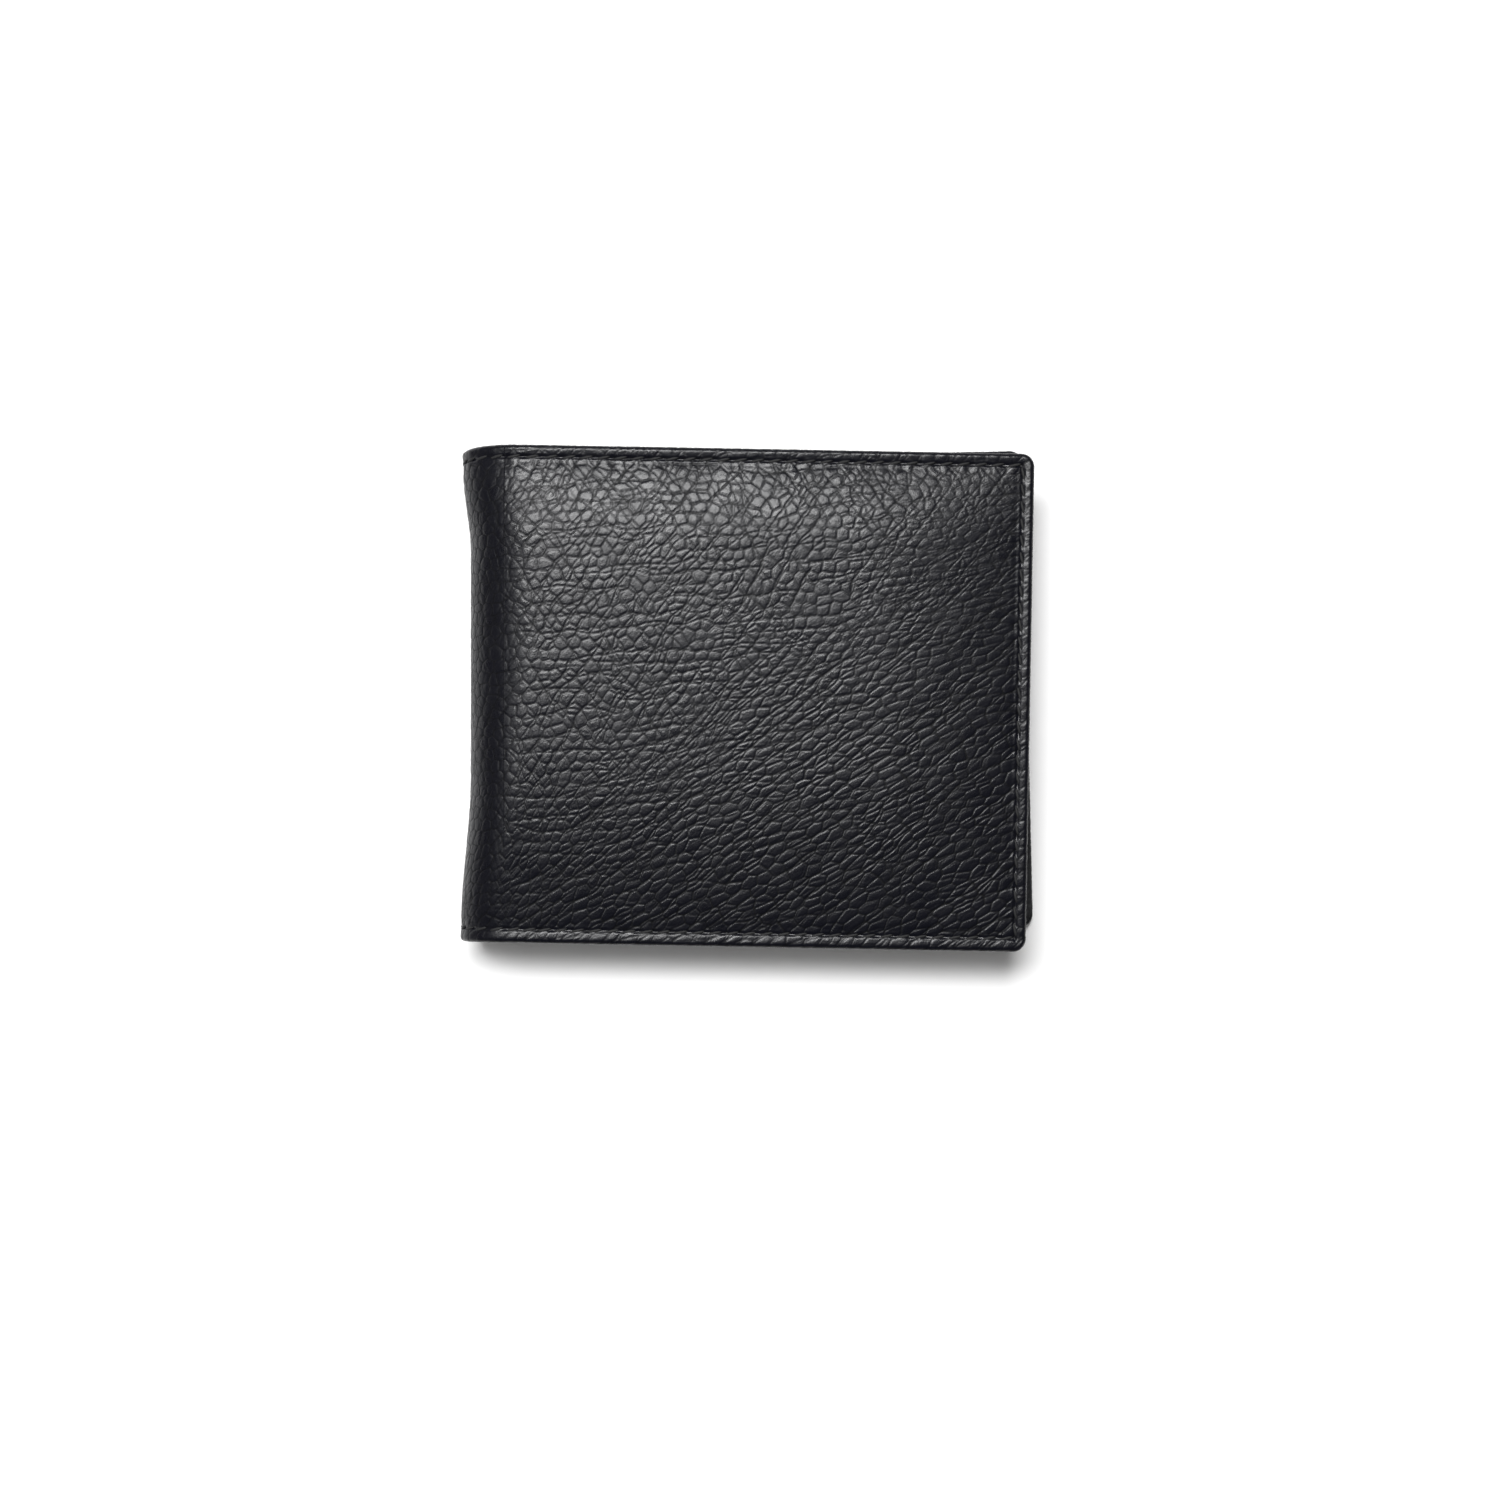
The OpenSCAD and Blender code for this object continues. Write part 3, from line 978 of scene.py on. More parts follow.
@dataclass(frozen=True)
class StitchRow:
    """Evenly spaced slanted stitches along one straight seam of a surface."""

    surface: Surface
    start: tuple[float, float]
    end: tuple[float, float]
    thread: Thread
    outward: int = 1
    probe: float = 0.2

    def on_surface(self, point: Array) -> Vector:
        """Where a flat point lies on the surface, in millimetres."""
        return Vector(self.surface(np.array([[point[0]]]), np.array([[point[1]]]))[0, 0])

    def places(self) -> list[Matrix]:
        """Works out each stitch's place on its surface, its turn and its size, in metres."""
        start, end = np.array(self.start), np.array(self.end)
        span = float(np.linalg.norm(end - start))
        step = (end - start) / span
        side = np.array([-step[1], step[0]])
        count = max(1, int(round(span / self.thread.pitch)))
        slant = math.radians(self.thread.slant) * self.outward
        size = self.thread.half_size
        found = []
        for k in range(count):
            centre = start + step * span * (k + 0.5) / count
            here = self.on_surface(centre)
            along = (self.on_surface(centre + self.probe * step) - here).normalized()
            across = (self.on_surface(centre + self.probe * side) - here).normalized()
            out = along.cross(across) * self.outward
            along = Matrix.Rotation(slant, 3, out) @ along
            across = out.cross(along)
            turn = Matrix((along * size.x, across * size.y, out * size.z)).transposed()
            sunk = Matrix.Translation((here - out * self.thread.sink) * MM)
            found.append(sunk @ (turn * MM).to_4x4())
        return found


@dataclass(frozen=True)
class Slab:
    """A thin sheet of leather or cloth, shaped on a grid and given its thickness."""

    name: str
    x_range: tuple[float, float]
    y_range: tuple[float, float]
    surface: Surface
    thickness: float
    outward: int
    pitch: float
    corner: float = 0.0
    edge_round: float = 0.0
    quick_factor: float = 2.0

    def build(self, finish: bpy.types.Material) -> bpy.types.Object:
        """Makes the sheet; its surface is the side that shows, and the thickness lies behind it.

        Args:
            finish: The sheet's material.

        Returns:
            The new object.
        """
        pitch = self.pitch * (self.quick_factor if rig.quick() else 1.0)
        cols, rows = steps_in(self.x_range, pitch), steps_in(self.y_range, pitch)
        bm, ix, iy = grid_bmesh(cols, rows)
        x, y = np.meshgrid(np.linspace(*self.x_range, cols + 1), np.linspace(*self.y_range, rows + 1))
        if self.corner > 0:
            middle, half_h = sum(self.y_range) / 2, (self.y_range[1] - self.y_range[0]) / 2
            reach, patch = self.x_range[1], 3 * self.corner
            x, y = round_corners(x, y - middle, reach, half_h, self.corner, patch)
            y = y + middle
        set_places(bm, self.surface(x, y)[iy, ix], self.outward)
        obj = finish_object(self.name, finish_mesh(self.name, bm), finish)
        solid = obj.modifiers.new("thickness", "SOLIDIFY")
        solid.thickness, solid.offset, solid.use_even_offset = self.thickness * MM, -1.0, True
        if self.edge_round > 0:
            rounding = obj.modifiers.new("rounded_edge", "BEVEL")
            rounding.width, rounding.segments = self.edge_round * MM, 2
            rounding.limit_method, rounding.angle_limit = "ANGLE", math.radians(50)
        return obj


# ---- Finishes ----------------------------------------------------------------


class Shade(Enum):
    """Colours of the finishes, as scene-linear red, green and blue."""

    LEATHER = (0.0036, 0.0038, 0.0066)
    # Painted shade: the leather's colour in its creases, darker where shade falls.
    LEATHER_CREASE = (0.0012, 0.0013, 0.0017)
    INNER_LEATHER = (0.0085, 0.0088, 0.0105)
    LINING = (0.0075, 0.008, 0.0095)
    THREAD = (0.006, 0.0062, 0.007)
    FOAM = (0.26, 0.27, 0.28)
    BOARD = (0.25, 0.16, 0.085)
    FLOOR = (0.9, 0.9, 0.9)
    WHITE = (1.0, 1.0, 1.0)
    COOL_FILL = (0.95, 0.97, 1.0)
    WARM_GLOW = (1.0, 0.92, 0.83)

    def rgba(self, share: float = 1.0) -> tuple[float, ...]:
        """The colour, made darker or lighter by a share, as a socket takes it."""
        return (*(part * share for part in self.value), 1.0)


class NodeLayout:
    """A short way to lay out a node tree."""

    def __init__(self, tree: bpy.types.NodeTree) -> None:
        self.nodes, self.links = tree.nodes, tree.links
        self.nodes.clear()

    def add(self, kind: str, **values: object) -> bpy.types.Node:
        """Adds a node and sets its own values and its unlinked sockets by name."""
        node = self.nodes.new(kind)
        for key, value in values.items():
            if hasattr(node, key):
                setattr(node, key, value)
            else:
                node.inputs[key].default_value = value
        return node

    def feed(self, socket: bpy.types.NodeSocket, value: object) -> None:
        """Links an output to a socket, or sets the socket to a number or a colour."""
        if isinstance(value, bpy.types.NodeSocket):
            self.links.new(value, socket)
        else:
            socket.default_value = value

    def object_place(self) -> bpy.types.NodeSocket:
        """Place on the piece, in metres; in the world's tree, the direction looked in."""
        return self.add("ShaderNodeTexCoord").outputs["Object"]

    def texture(self, kind: str, **values: object) -> bpy.types.Node:
        """Adds a texture that is fixed to the piece."""
        node = self.add(kind, **values)
        self.feed(node.inputs["Vector"], self.object_place())
        return node

    def split_place(self) -> bpy.types.Node:
        """Adds a node that gives X, Y and Z of the object place."""
        node = self.add("ShaderNodeSeparateXYZ")
        self.feed(node.inputs[0], self.object_place())
        return node

    def light_path(self) -> bpy.types.NodeSocket:
        """Tells whether the surface is seen straight from the camera."""
        return self.add("ShaderNodeLightPath").outputs["Is Camera Ray"]

    def math(self, operation: str, *terms: object) -> bpy.types.NodeSocket:
        """Adds a sum; each term is a socket or a number."""
        node = self.add("ShaderNodeMath", operation=operation)
        for socket, term in zip(node.inputs, terms):
            self.feed(socket, term)
        return node.outputs[0]

    def ramp(
        self,
        factor: bpy.types.NodeSocket,
        ends: tuple[float, float],
        results: tuple[float, float],
        kind: str = "LINEAR",
    ) -> bpy.types.NodeSocket:
        """Maps a factor's range onto another range.

        Args:
            factor: The socket to map.
            ends: The two ends of the factor's range.
            results: What the two ends become.
            kind: The interpolation between them.

        Returns:
            The mapped socket.
        """
        node = self.add("ShaderNodeMapRange", interpolation_type=kind)
        for name, value in zip(("From Min", "From Max", "To Min", "To Max"), (*ends, *results)):
            node.inputs[name].default_value = value
        self.feed(node.inputs["Value"], factor)
        return node.outputs["Result"]

    def mix_colour(
        self, factor: bpy.types.NodeSocket, first: tuple[float, ...], second: tuple[float, ...]
    ) -> bpy.types.NodeSocket:
        """Mixes two colours by a factor."""
        node = self.add("ShaderNodeMix", data_type="RGBA")
        for place, value in ((6, first), (7, second), (0, factor)):
            self.feed(node.inputs[place], value)
        return node.outputs[2]


class Finish(NodeLayout):
    """One material, laid out round a single surface shader."""

    def __init__(self, name: str) -> None:
        self.material = bpy.data.materials.new(name)
        self.material.use_nodes = True
        super().__init__(self.material.node_tree)
        self.shader = self.add("ShaderNodeBsdfPrincipled")
        output = self.add("ShaderNodeOutputMaterial")
        self.feed(output.inputs["Surface"], self.shader.outputs[0])

    def surface(self, **values: object) -> None:
        """Sets or links the shader's inputs; an underscore stands for a space in a name."""
        for name, value in values.items():
            self.feed(self.shader.inputs[name.replace("_", " ")], value)

    def bump(self, height: bpy.types.NodeSocket, distance: float, strength: float) -> None:
        """Bumps the shader's surface by a height, distance in millimetres."""
        node = self.add("ShaderNodeBump", Strength=strength, Distance=distance * MM)
        self.feed(node.inputs["Height"], height)
        self.feed(self.shader.inputs["Normal"], node.outputs["Normal"])


@dataclass(frozen=True)
class LeatherFinish:
    """Black finished leather: painted shade in the creases, darker in colour and less glossy, a satin face and fine
    pores.
    """

    name: str
    face: Shade
    crease: Shade
    roughness: float = 0.275
    crease_roughness: float = 0.25
    face_gloss: float = 0.5
    # Painted shade: the creases keep less gloss, so they read dark as if shaded.
    crease_shaded_gloss: float = 0.27
    ior: float = 1.343
    pore_scale: float = 2600.0
    patch_scale: float = 160.0

    def material(self) -> bpy.types.Material:
        """Builds the material."""
        finish = Finish(self.name)
        crease = finish.add("ShaderNodeAttribute", attribute_name="crease").outputs["Fac"]
        pores = finish.texture("ShaderNodeTexNoise", Scale=self.pore_scale, Detail=3.0, Roughness=0.6)
        patches = finish.texture("ShaderNodeTexNoise", Scale=self.patch_scale, Detail=2.0)
        # Painted shade: the crease share darkens the colour and takes away gloss in the creases, where shade falls.
        crease_shading = finish.ramp(crease, (0.2, 0.85), (0.0, 1.0))
        worn = (self.roughness - 0.04, self.roughness + 0.05)
        worn_face = finish.ramp(patches.outputs["Fac"], (0.3, 0.7), worn)
        finish.surface(
            Base_Color=finish.mix_colour(crease_shading, self.face.rgba(), self.crease.rgba()),
            Roughness=finish.math("MULTIPLY_ADD", crease, self.crease_roughness, worn_face),
            Specular_IOR_Level=finish.ramp(crease, (0.12, 0.75), (self.face_gloss, self.crease_shaded_gloss)),
            IOR=self.ior,
        )
        finish.bump(pores.outputs["Fac"], 0.05, 0.5)
        return finish.material


@dataclass(frozen=True)
class InnerLeatherFinish:
    """Smooth black lining leather with a fine pebble."""

    name: str
    face: Shade
    roughness: float = 0.46
    ior: float = 1.4
    pebble_scale: float = 1050.0
    pore_scale: float = 3200.0

    def material(self) -> bpy.types.Material:
        """Builds the material."""
        finish = Finish(self.name)
        pebbles = finish.texture(
            "ShaderNodeTexVoronoi", feature="DISTANCE_TO_EDGE", Scale=self.pebble_scale
        )
        pores = finish.texture("ShaderNodeTexNoise", Scale=self.pore_scale, Detail=2.0)
        worn = (self.roughness - 0.05, self.roughness + 0.08)
        finish.surface(
            Base_Color=self.face.rgba(),
            Roughness=finish.ramp(pores.outputs["Fac"], (0.3, 0.7), worn),
            IOR=self.ior,
        )
        finish.bump(finish.ramp(pebbles.outputs["Distance"], (0.0, 0.22), (0.0, 1.0)), 0.05, 0.7)
        return finish.material


@dataclass(frozen=True)
class WovenFinish:
    """Fine plain-woven black cloth; threads is how many cross one millimetre."""

    name: str
    colour: Shade
    threads: float = 2.6
    roughness: float = 0.62

    def material(self) -> bpy.types.Material:
        """Builds the material."""
        finish = Finish(self.name)
        place, per_metre = finish.split_place(), self.threads * math.pi / MM
        turns = [finish.math("MULTIPLY", place.outputs[axis], per_metre) for axis in ("X", "Y")]
        warp, weft = (finish.math("SINE", turn) for turn in turns)
        finish.surface(
            Base_Color=self.colour.rgba(),
            Roughness=self.roughness,
            Sheen_Weight=0.15,
            Sheen_Roughness=0.4,
        )
        finish.bump(finish.math("MULTIPLY", warp, weft), 0.03, 0.8)
        return finish.material


@dataclass(frozen=True)
class PlainFinish:
    """A matt finish with a fine fibrous or woven bump."""

    name: str
    colour: Shade
    roughness: float
    grain_scale: float
    grain_height: float

    def material(self) -> bpy.types.Material:
        """Builds the material."""
        finish = Finish(self.name)
        fibres = finish.texture("ShaderNodeTexNoise", Scale=self.grain_scale, Detail=3.0).outputs["Fac"]
        finish.surface(
            Base_Color=finish.mix_colour(fibres, self.colour.rgba(0.75), self.colour.rgba(1.25)),
            Roughness=self.roughness,
        )
        finish.bump(fibres, self.grain_height, 0.6)
        return finish.material


# ---- The studio --------------------------------------------------------------


@dataclass(frozen=True)
class SoftLight:
    """A rectangular light aimed at the middle of the wallet; millimetres and watts."""

    name: str
    place: tuple[float, float, float]
    size: tuple[float, float]
    watts: float

    def build(self) -> None:
        """Adds the light."""
        data = bpy.data.lights.new(self.name, "AREA")
        data.shape = "RECTANGLE"
        data.size, data.size_y = self.size[0] * MM, self.size[1] * MM
        data.energy = self.watts
        lamp = bpy.data.objects.new(self.name, data)
        lamp.location = Vector(self.place) * MM
        lamp.rotation_euler = Vector(self.place).to_track_quat("Z", "Y").to_euler()
        bpy.context.scene.collection.objects.link(lamp)
        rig.stage(lamp)


@dataclass(frozen=True)
class Studio:
    """The camera, lights, pale floor and white surroundings; places in millimetres.

    For the camera alone the floor gives off floor_lift of its own light near the wallet, and full
    white past the fade.
    """

    camera_at: tuple[float, float, float] = (-3.4, -10.8, 353.6)
    lens: float = 42.21
    sensor: float = 36.0
    lights: tuple[SoftLight, ...] = (
        SoftLight("key_light", (-150.0, 370.0, 1000.0), (560.0, 270.0), 14.8),
        SoftLight("gloss_light", (-110.0, 185.0, 1000.0), (420.0, 80.0), 0.8),
        SoftLight("low_light", (30.0, -25.0, 1000.0), (440.0, 110.0), 0.1),
        SoftLight("side_light", (-620.0, 120.0, 900.0), (420.0, 420.0), 0.95),
    )
    floor_size: float = 6000.0
    floor_lift: float = 0.07
    floor_fade: tuple[float, float] = (170.0, 480.0)
    fill_strength: float = 0.04
    glow_strength: float = 0.14
    glow_fade: tuple[float, float] = (0.3, 0.75)

    def camera(self) -> bpy.types.Object:
        """Adds the camera, looking straight down."""
        data = bpy.data.cameras.new("camera")
        data.sensor_fit = "AUTO"
        data.sensor_width = self.sensor
        data.lens = self.lens
        data.clip_start, data.clip_end = 0.01, 20.0
        camera = bpy.data.objects.new("camera", data)
        camera.location = Vector(self.camera_at) * MM
        bpy.context.scene.collection.objects.link(camera)
        bpy.context.scene.camera = camera
        return camera

    def floor(self) -> None:
        """Adds the pale floor, which reads white in view and still takes the shadow."""
        bm = bmesh.new()
        bmesh.ops.create_grid(bm, x_segments=2, y_segments=2, size=self.floor_size * MM / 2)
        finish = Finish("floor_white")
        away = finish.add("ShaderNodeVectorMath", operation="LENGTH")
        finish.feed(away.inputs[0], finish.object_place())
        near, far = (reach * MM for reach in self.floor_fade)
        lift = finish.ramp(away.outputs["Value"], (near, far), (self.floor_lift, 1.0))
        finish.surface(
            Base_Color=Shade.FLOOR.rgba(),
            Roughness=0.9,
            Specular_IOR_Level=0.0,
            Emission_Color=Shade.WHITE.rgba(),
            Emission_Strength=finish.math("MULTIPLY", finish.light_path(), lift),
        )
        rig.stage(finish_object("floor", finish_mesh("floor", bm), finish.material))

    def surroundings(self) -> None:
        """Fills the room with a soft white light, warmer and stronger low down."""
        world = bpy.data.worlds.new("room")
        bpy.context.scene.world = world
        world.use_nodes = True
        room = NodeLayout(world.node_tree)
        height = room.math("ABSOLUTE", room.split_place().outputs["Z"])
        low_down = room.ramp(height, self.glow_fade, (self.glow_strength, 0.0), "SMOOTHSTEP")
        white, fill, glow = (
            room.add("ShaderNodeBackground", Color=shade.rgba())
            for shade in (Shade.WHITE, Shade.COOL_FILL, Shade.WARM_GLOW)
        )
        both, shown = room.add("ShaderNodeAddShader"), room.add("ShaderNodeMixShader")
        output = room.add("ShaderNodeOutputWorld")
        for socket, value in (
            (fill.inputs["Strength"], self.fill_strength),
            (glow.inputs["Strength"], low_down),
            (both.inputs[0], fill.outputs[0]),
            (both.inputs[1], glow.outputs[0]),
            (shown.inputs[0], room.light_path()),
            (shown.inputs[1], both.outputs[0]),
            (shown.inputs[2], white.outputs[0]),
            (output.inputs["Surface"], shown.outputs[0]),
        ):
            room.feed(socket, value)

    def build(self) -> bpy.types.Object:
        """Sets up the whole studio and returns its camera."""
        bpy.context.scene.view_settings.view_transform = "Standard"
        self.floor()
        self.surroundings()
        for light in self.lights:
            light.build()
        return self.camera()


# ---- Placing by the photograph -----------------------------------------------


def finished_bmesh(piece: bpy.types.Object, placing: Matrix) -> bmesh.types.BMesh:
    """A copy of a piece's mesh with its modifiers, put in place; the caller frees it."""
    bm = bmesh.new()
    bm.from_object(piece, bpy.context.evaluated_depsgraph_get())
    bm.transform(placing)
    return bm


@dataclass(frozen=True)
class Sight:
    """Turns the photograph's points into places on the wallet."""

    camera: bpy.types.Object

    def ray(self, name: str) -> tuple[Vector, Vector]:
        """The start and direction of the line from the camera through an image point."""
        data = self.camera.data
        long_side = max(IMAGE_W, IMAGE_H)
        x, y = IMAGE_POINTS[name]
        aim = Vector((
            x - IMAGE_W / 2 + data.shift_x * long_side,
            IMAGE_H / 2 - y + data.shift_y * long_side,
            -long_side * data.lens / data.sensor_width,
        ))
        world = self.camera.matrix_world
        return world.translation.copy(), (world.to_3x3() @ aim).normalized()

    def place(self, name: str, carrier: bpy.types.Object) -> Vector:
        """Where an image point's ray meets its carrier; a miss takes the place nearest the ray.

        Args:
            name: The image point's name.
            carrier: The piece, as finished and placed.

        Returns:
            The place in metres.
        """
        start, aim = self.ray(name)
        bm = finished_bmesh(carrier, carrier.matrix_world)
        tree = BVHTree.FromBMesh(bm)
        hit = tree.ray_cast(start, aim)[0]
        if hit is None:
            nearest = min(bm.verts, key=lambda vert: (vert.co - start).cross(aim).length)
            hit = nearest.co.copy()
        bm.free()
        return hit

    def seam(self, carrier: bpy.types.Object) -> EdgeSeam:
        """How far in from the front cover's edges its seam runs, from one point on each side.

        Args:
            carrier: The front cover.

        Returns:
            The seam.
        """
        half_h = SIZES.cover_h / 2
        head = FRONT.flat_place(self.place("head_seam", carrier))[1]
        fore = FRONT.flat_place(self.place("fore_seam", carrier))[0]
        foot = FRONT.flat_place(self.place("foot_seam", carrier))[1]
        seam = EdgeSeam(head=half_h - head, fore=FRONT.width - fore, foot=half_h + foot)
        sides = (seam.head, seam.fore, seam.foot)
        log.info("seam on %s: head %.2f, fore %.2f, foot %.2f", carrier.name, *sides)
        return seam

    def shows_at(self, *pieces: bpy.types.Object) -> Array:
        """Image coordinates of the finished vertices of pieces."""
        found = []
        for piece in pieces:
            bm = finished_bmesh(piece, self.camera.matrix_world.inverted() @ piece.matrix_world)
            found += [tuple(v.co) for v in bm.verts]
            bm.free()
        seen = np.array(found)
        data = self.camera.data
        long_side = max(IMAGE_W, IMAGE_H)
        scale = long_side * data.lens / data.sensor_width / -seen[:, 2]
        x = IMAGE_W / 2 + seen[:, 0] * scale - data.shift_x * long_side
        y = IMAGE_H / 2 - seen[:, 1] * scale + data.shift_y * long_side
        return np.stack([x, y], axis=-1)


class Side(Enum):
    """Which way an outline faces: the image axis it is measured on, and its sign."""

    LEFT = (0, -1)
    RIGHT = (0, 1)
    TOP = (1, -1)
    BOTTOM = (1, 1)


@dataclass
class PointLog:
    """Measures how far each named thing shows from its image point.

    The band is how far along an outline or a row is looked at, and the reach how far across a row.
    """

    sight: Sight
    band: float = 14.0
    reach: float = 9.0
    away: dict[str, list[float]] = field(default_factory=dict)

    def note(self, name: str, axis: int, shown: float) -> None:
        """Keeps one result, along one image axis."""
        found = [0.0, 0.0]
        found[axis] = round(shown - IMAGE_POINTS[name][axis], 2)
        self.away[name] = found
        log.info("point %s shows %s away", name, found)

    def outline(self, name: str, side: Side, *pieces: bpy.types.Object) -> None:
        """Measures an outline beside its point."""
        axis, sign = side.value
        seen = self.sight.shows_at(*pieces)
        near = seen[np.abs(seen[:, 1 - axis] - IMAGE_POINTS[name][1 - axis]) < self.band]
        if len(near):
            self.note(name, axis, sign * float((near[:, axis] * sign).max()))

    def row(self, name: str, side: Side, piece: bpy.types.Object) -> None:
        """Measures the middle of a row of stitches beside its point."""
        axis = side.value[0]
        seen = self.sight.shows_at(piece)
        off = np.abs(seen - np.array(IMAGE_POINTS[name]))
        near = seen[(off[:, 1 - axis] < self.band) & (off[:, axis] < self.reach)][:, axis]
        if len(near):
            self.note(name, axis, float(near.min() + near.max()) / 2)

    def write(self, path: str) -> None:
        """Writes the results."""
        with open(path, "w", encoding="utf-8") as out:
            json.dump(self.away, out, indent=1)


# ---- The wallet's outside ----------------------------------------------------


@dataclass(frozen=True)
class Finishes:
    """Every material of the wallet."""

    cover: bpy.types.Material
    inner: bpy.types.Material
    lining: bpy.types.Material
    thread: bpy.types.Material
    foam: bpy.types.Material
    board: bpy.types.Material


def make_finishes() -> Finishes:
    """Builds the materials once each."""
    return Finishes(
        cover=LeatherFinish("cover_leather_finish", Shade.LEATHER, Shade.LEATHER_CREASE).material(),
        inner=InnerLeatherFinish("inner_leather_finish", Shade.INNER_LEATHER).material(),
        lining=WovenFinish("lining_finish", Shade.LINING).material(),
        thread=PlainFinish("thread_finish", Shade.THREAD, 0.72, 6000.0, 0.03).material(),
        foam=PlainFinish("foam_finish", Shade.FOAM, 0.95, 2500.0, 0.15).material(),
        board=PlainFinish("board_finish", Shade.BOARD, 0.9, 1800.0, 0.05).material(),
    )


def settle(obj: bpy.types.Object, node: str, body: str, slot_name: str) -> None:
    """Gives a piece the node it stands for, its body and its slot, and logs it."""
    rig.replaces(obj, node)
    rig.ride(obj, body)
    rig.slot(obj, slot_name)
    log.info("%s: %d faces", obj.name, len(obj.data.polygons))


def settle_on_spine(obj: bpy.types.Object, node: str, slot_name: str) -> None:
    """Lets a spine piece ride on the spine and flatten as the wallet opens."""
    settle(obj, node, "spine", slot_name)
    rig.squash(obj, "back_fold", axis=(1, 0, 0), anchor=(SIZES.fold_x * MM, 0, 0), keep=0.05)


@dataclass(frozen=True)
class OuterLeather:
    """The padded covers and the spine, in one grain that runs round the fold.

    The pitches are the distances between the mesh's points.
    """

    seam: EdgeSeam
    finishes: Finishes
    grain: PebbledGrain = PebbledGrain()
    cover_pitch: float = 0.21
    hidden_pitch: float = 0.29
    quick_factor: float = 3.0

    def build(self) -> None:
        """Makes the three skins and gives each its body."""
        coarse = self.quick_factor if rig.quick() else 1.0
        for half, pitch in ((FRONT, self.cover_pitch), (BACK, self.hidden_pitch)):
            shape = CoverShape(half, self.seam)
            skin = SkinGrid(f"{half.name}_cover_skin", shape, coarse * pitch)
            under = SIZES.half_t + half.side * (SIZES.rim_top - 2 * SIZES.bead_r)
            cover = skin.build(self.grain, self.finishes.cover, under)
            settle(cover, f"{half.name}_cover_leather", half.body, "cover_leather")
            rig.padded(cover, fill=0.5)
        skin = SkinGrid("spine_skin", SpineShape(self.seam), coarse * self.cover_pitch)
        wrap = skin.build(self.grain, self.finishes.cover, None)
        settle_on_spine(wrap, "spine_leather", "cover_leather")


@dataclass(frozen=True)
class Stitching:
    """The thread of the edge seams, round the covers and over the spine's ends."""

    seam: EdgeSeam
    finishes: Finishes

    @property
    def ends(self) -> tuple[float, float]:
        """How high the head seam and the foot seam lie along the wallet's height."""
        return SIZES.cover_h / 2 - self.seam.head, self.seam.foot - SIZES.cover_h / 2

    def edge_rows(self, half: Half) -> list[Matrix]:
        """Stitches round three edges of a cover's face."""
        shape = CoverShape(half, self.seam)
        (head, foot), right = self.ends, half.width - self.seam.fore
        corners = [(0.0, head), (right, head), (right, foot), (0.0, foot)]
        found: list[Matrix] = []
        for start, end in zip(corners, corners[1:]):
            found += StitchRow(shape.surface, start, end, self.seam.thread, half.side).places()
        return found

    def spine_rows(self) -> list[Matrix]:
        """Stitches of the two edge seams where they cross the spine."""
        spine = SpineShape(self.seam)
        found: list[Matrix] = []
        for y in self.ends:
            row = StitchRow(spine.surface, (-SIZES.fold_length, y), (0.0, y), self.seam.thread)
            found += row.places()
        return found

    def build(self) -> None:
        """Makes the outside seams."""
        for half in (FRONT, BACK):
            places = self.edge_rows(half)
            row = piece_of_many(f"{half.name}_edge_stitches", places, self.finishes.thread)
            settle(row, f"{half.name}_edge_stitching", half.body, "thread")
        row = piece_of_many("spine_stitches", self.spine_rows(), self.finishes.thread)
        settle_on_spine(row, "spine_stitching", "thread")


# ---- The wallet's inside -----------------------------------------------------

LINING_T = 0.15
CLOTH_PITCH = 1.2
CUT_EDGE_ROUND = 0.12
POCKET_THREAD = Thread(pitch=2.9, length=2.3, width=0.4, slant=8.0, sink=0.02)


@dataclass(frozen=True)
class HalfPart:
    """What every part of one half's inside is built with.

    Heights are above the plane where the closed halves meet, in millimetres.
    """

    half: Half
    seam: EdgeSeam
    finishes: Finishes

    def named(self, words: str) -> str:
        """A piece's or node's name on this half."""
        return f"{self.half.name}_{words}"

    def settle(self, obj: bpy.types.Object, node: str, slot_name: str) -> None:
        """Gives a piece the node it stands for on this half, its body and its slot."""
        settle(obj, self.named(node), self.half.body, slot_name)

    def level(self, height: float) -> Surface:
        """A flat sheet at one height."""
        return lambda x, y: self.half.place(x, y, np.full(x.shape, height))

    def lay(self, name: str, node: str, span: Span, surface: Surface, on: str, corner: float) -> None:
        """Args:
            name: The piece's name on this half.
            node: The node it stands for.
            span: Its reach from the fold and along the height.
            surface: The form it takes.
            on: The piece it rests on.
            corner: Radius of its fore corners.
        """
        slab = Slab(
            self.named(name), *span, surface, LINING_T, -self.half.side, CLOTH_PITCH, corner
        )
        cloth = slab.build(self.finishes.lining)
        self.settle(cloth, node, "lining")
        (left, right), (low, high) = span
        size = ((right - left) * MM, (high - low) * MM)
        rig.sheet(cloth, flat=size, held="stretched", rests_on=[self.named(on)])

    def sew(self, name: str, node: str, rows: list[StitchRow]) -> None:
        """Makes the stitches of several rows as one piece."""
        places = [place for row in rows for place in row.places()]
        self.settle(piece_of_many(self.named(name), places, self.finishes.thread), node, "thread")


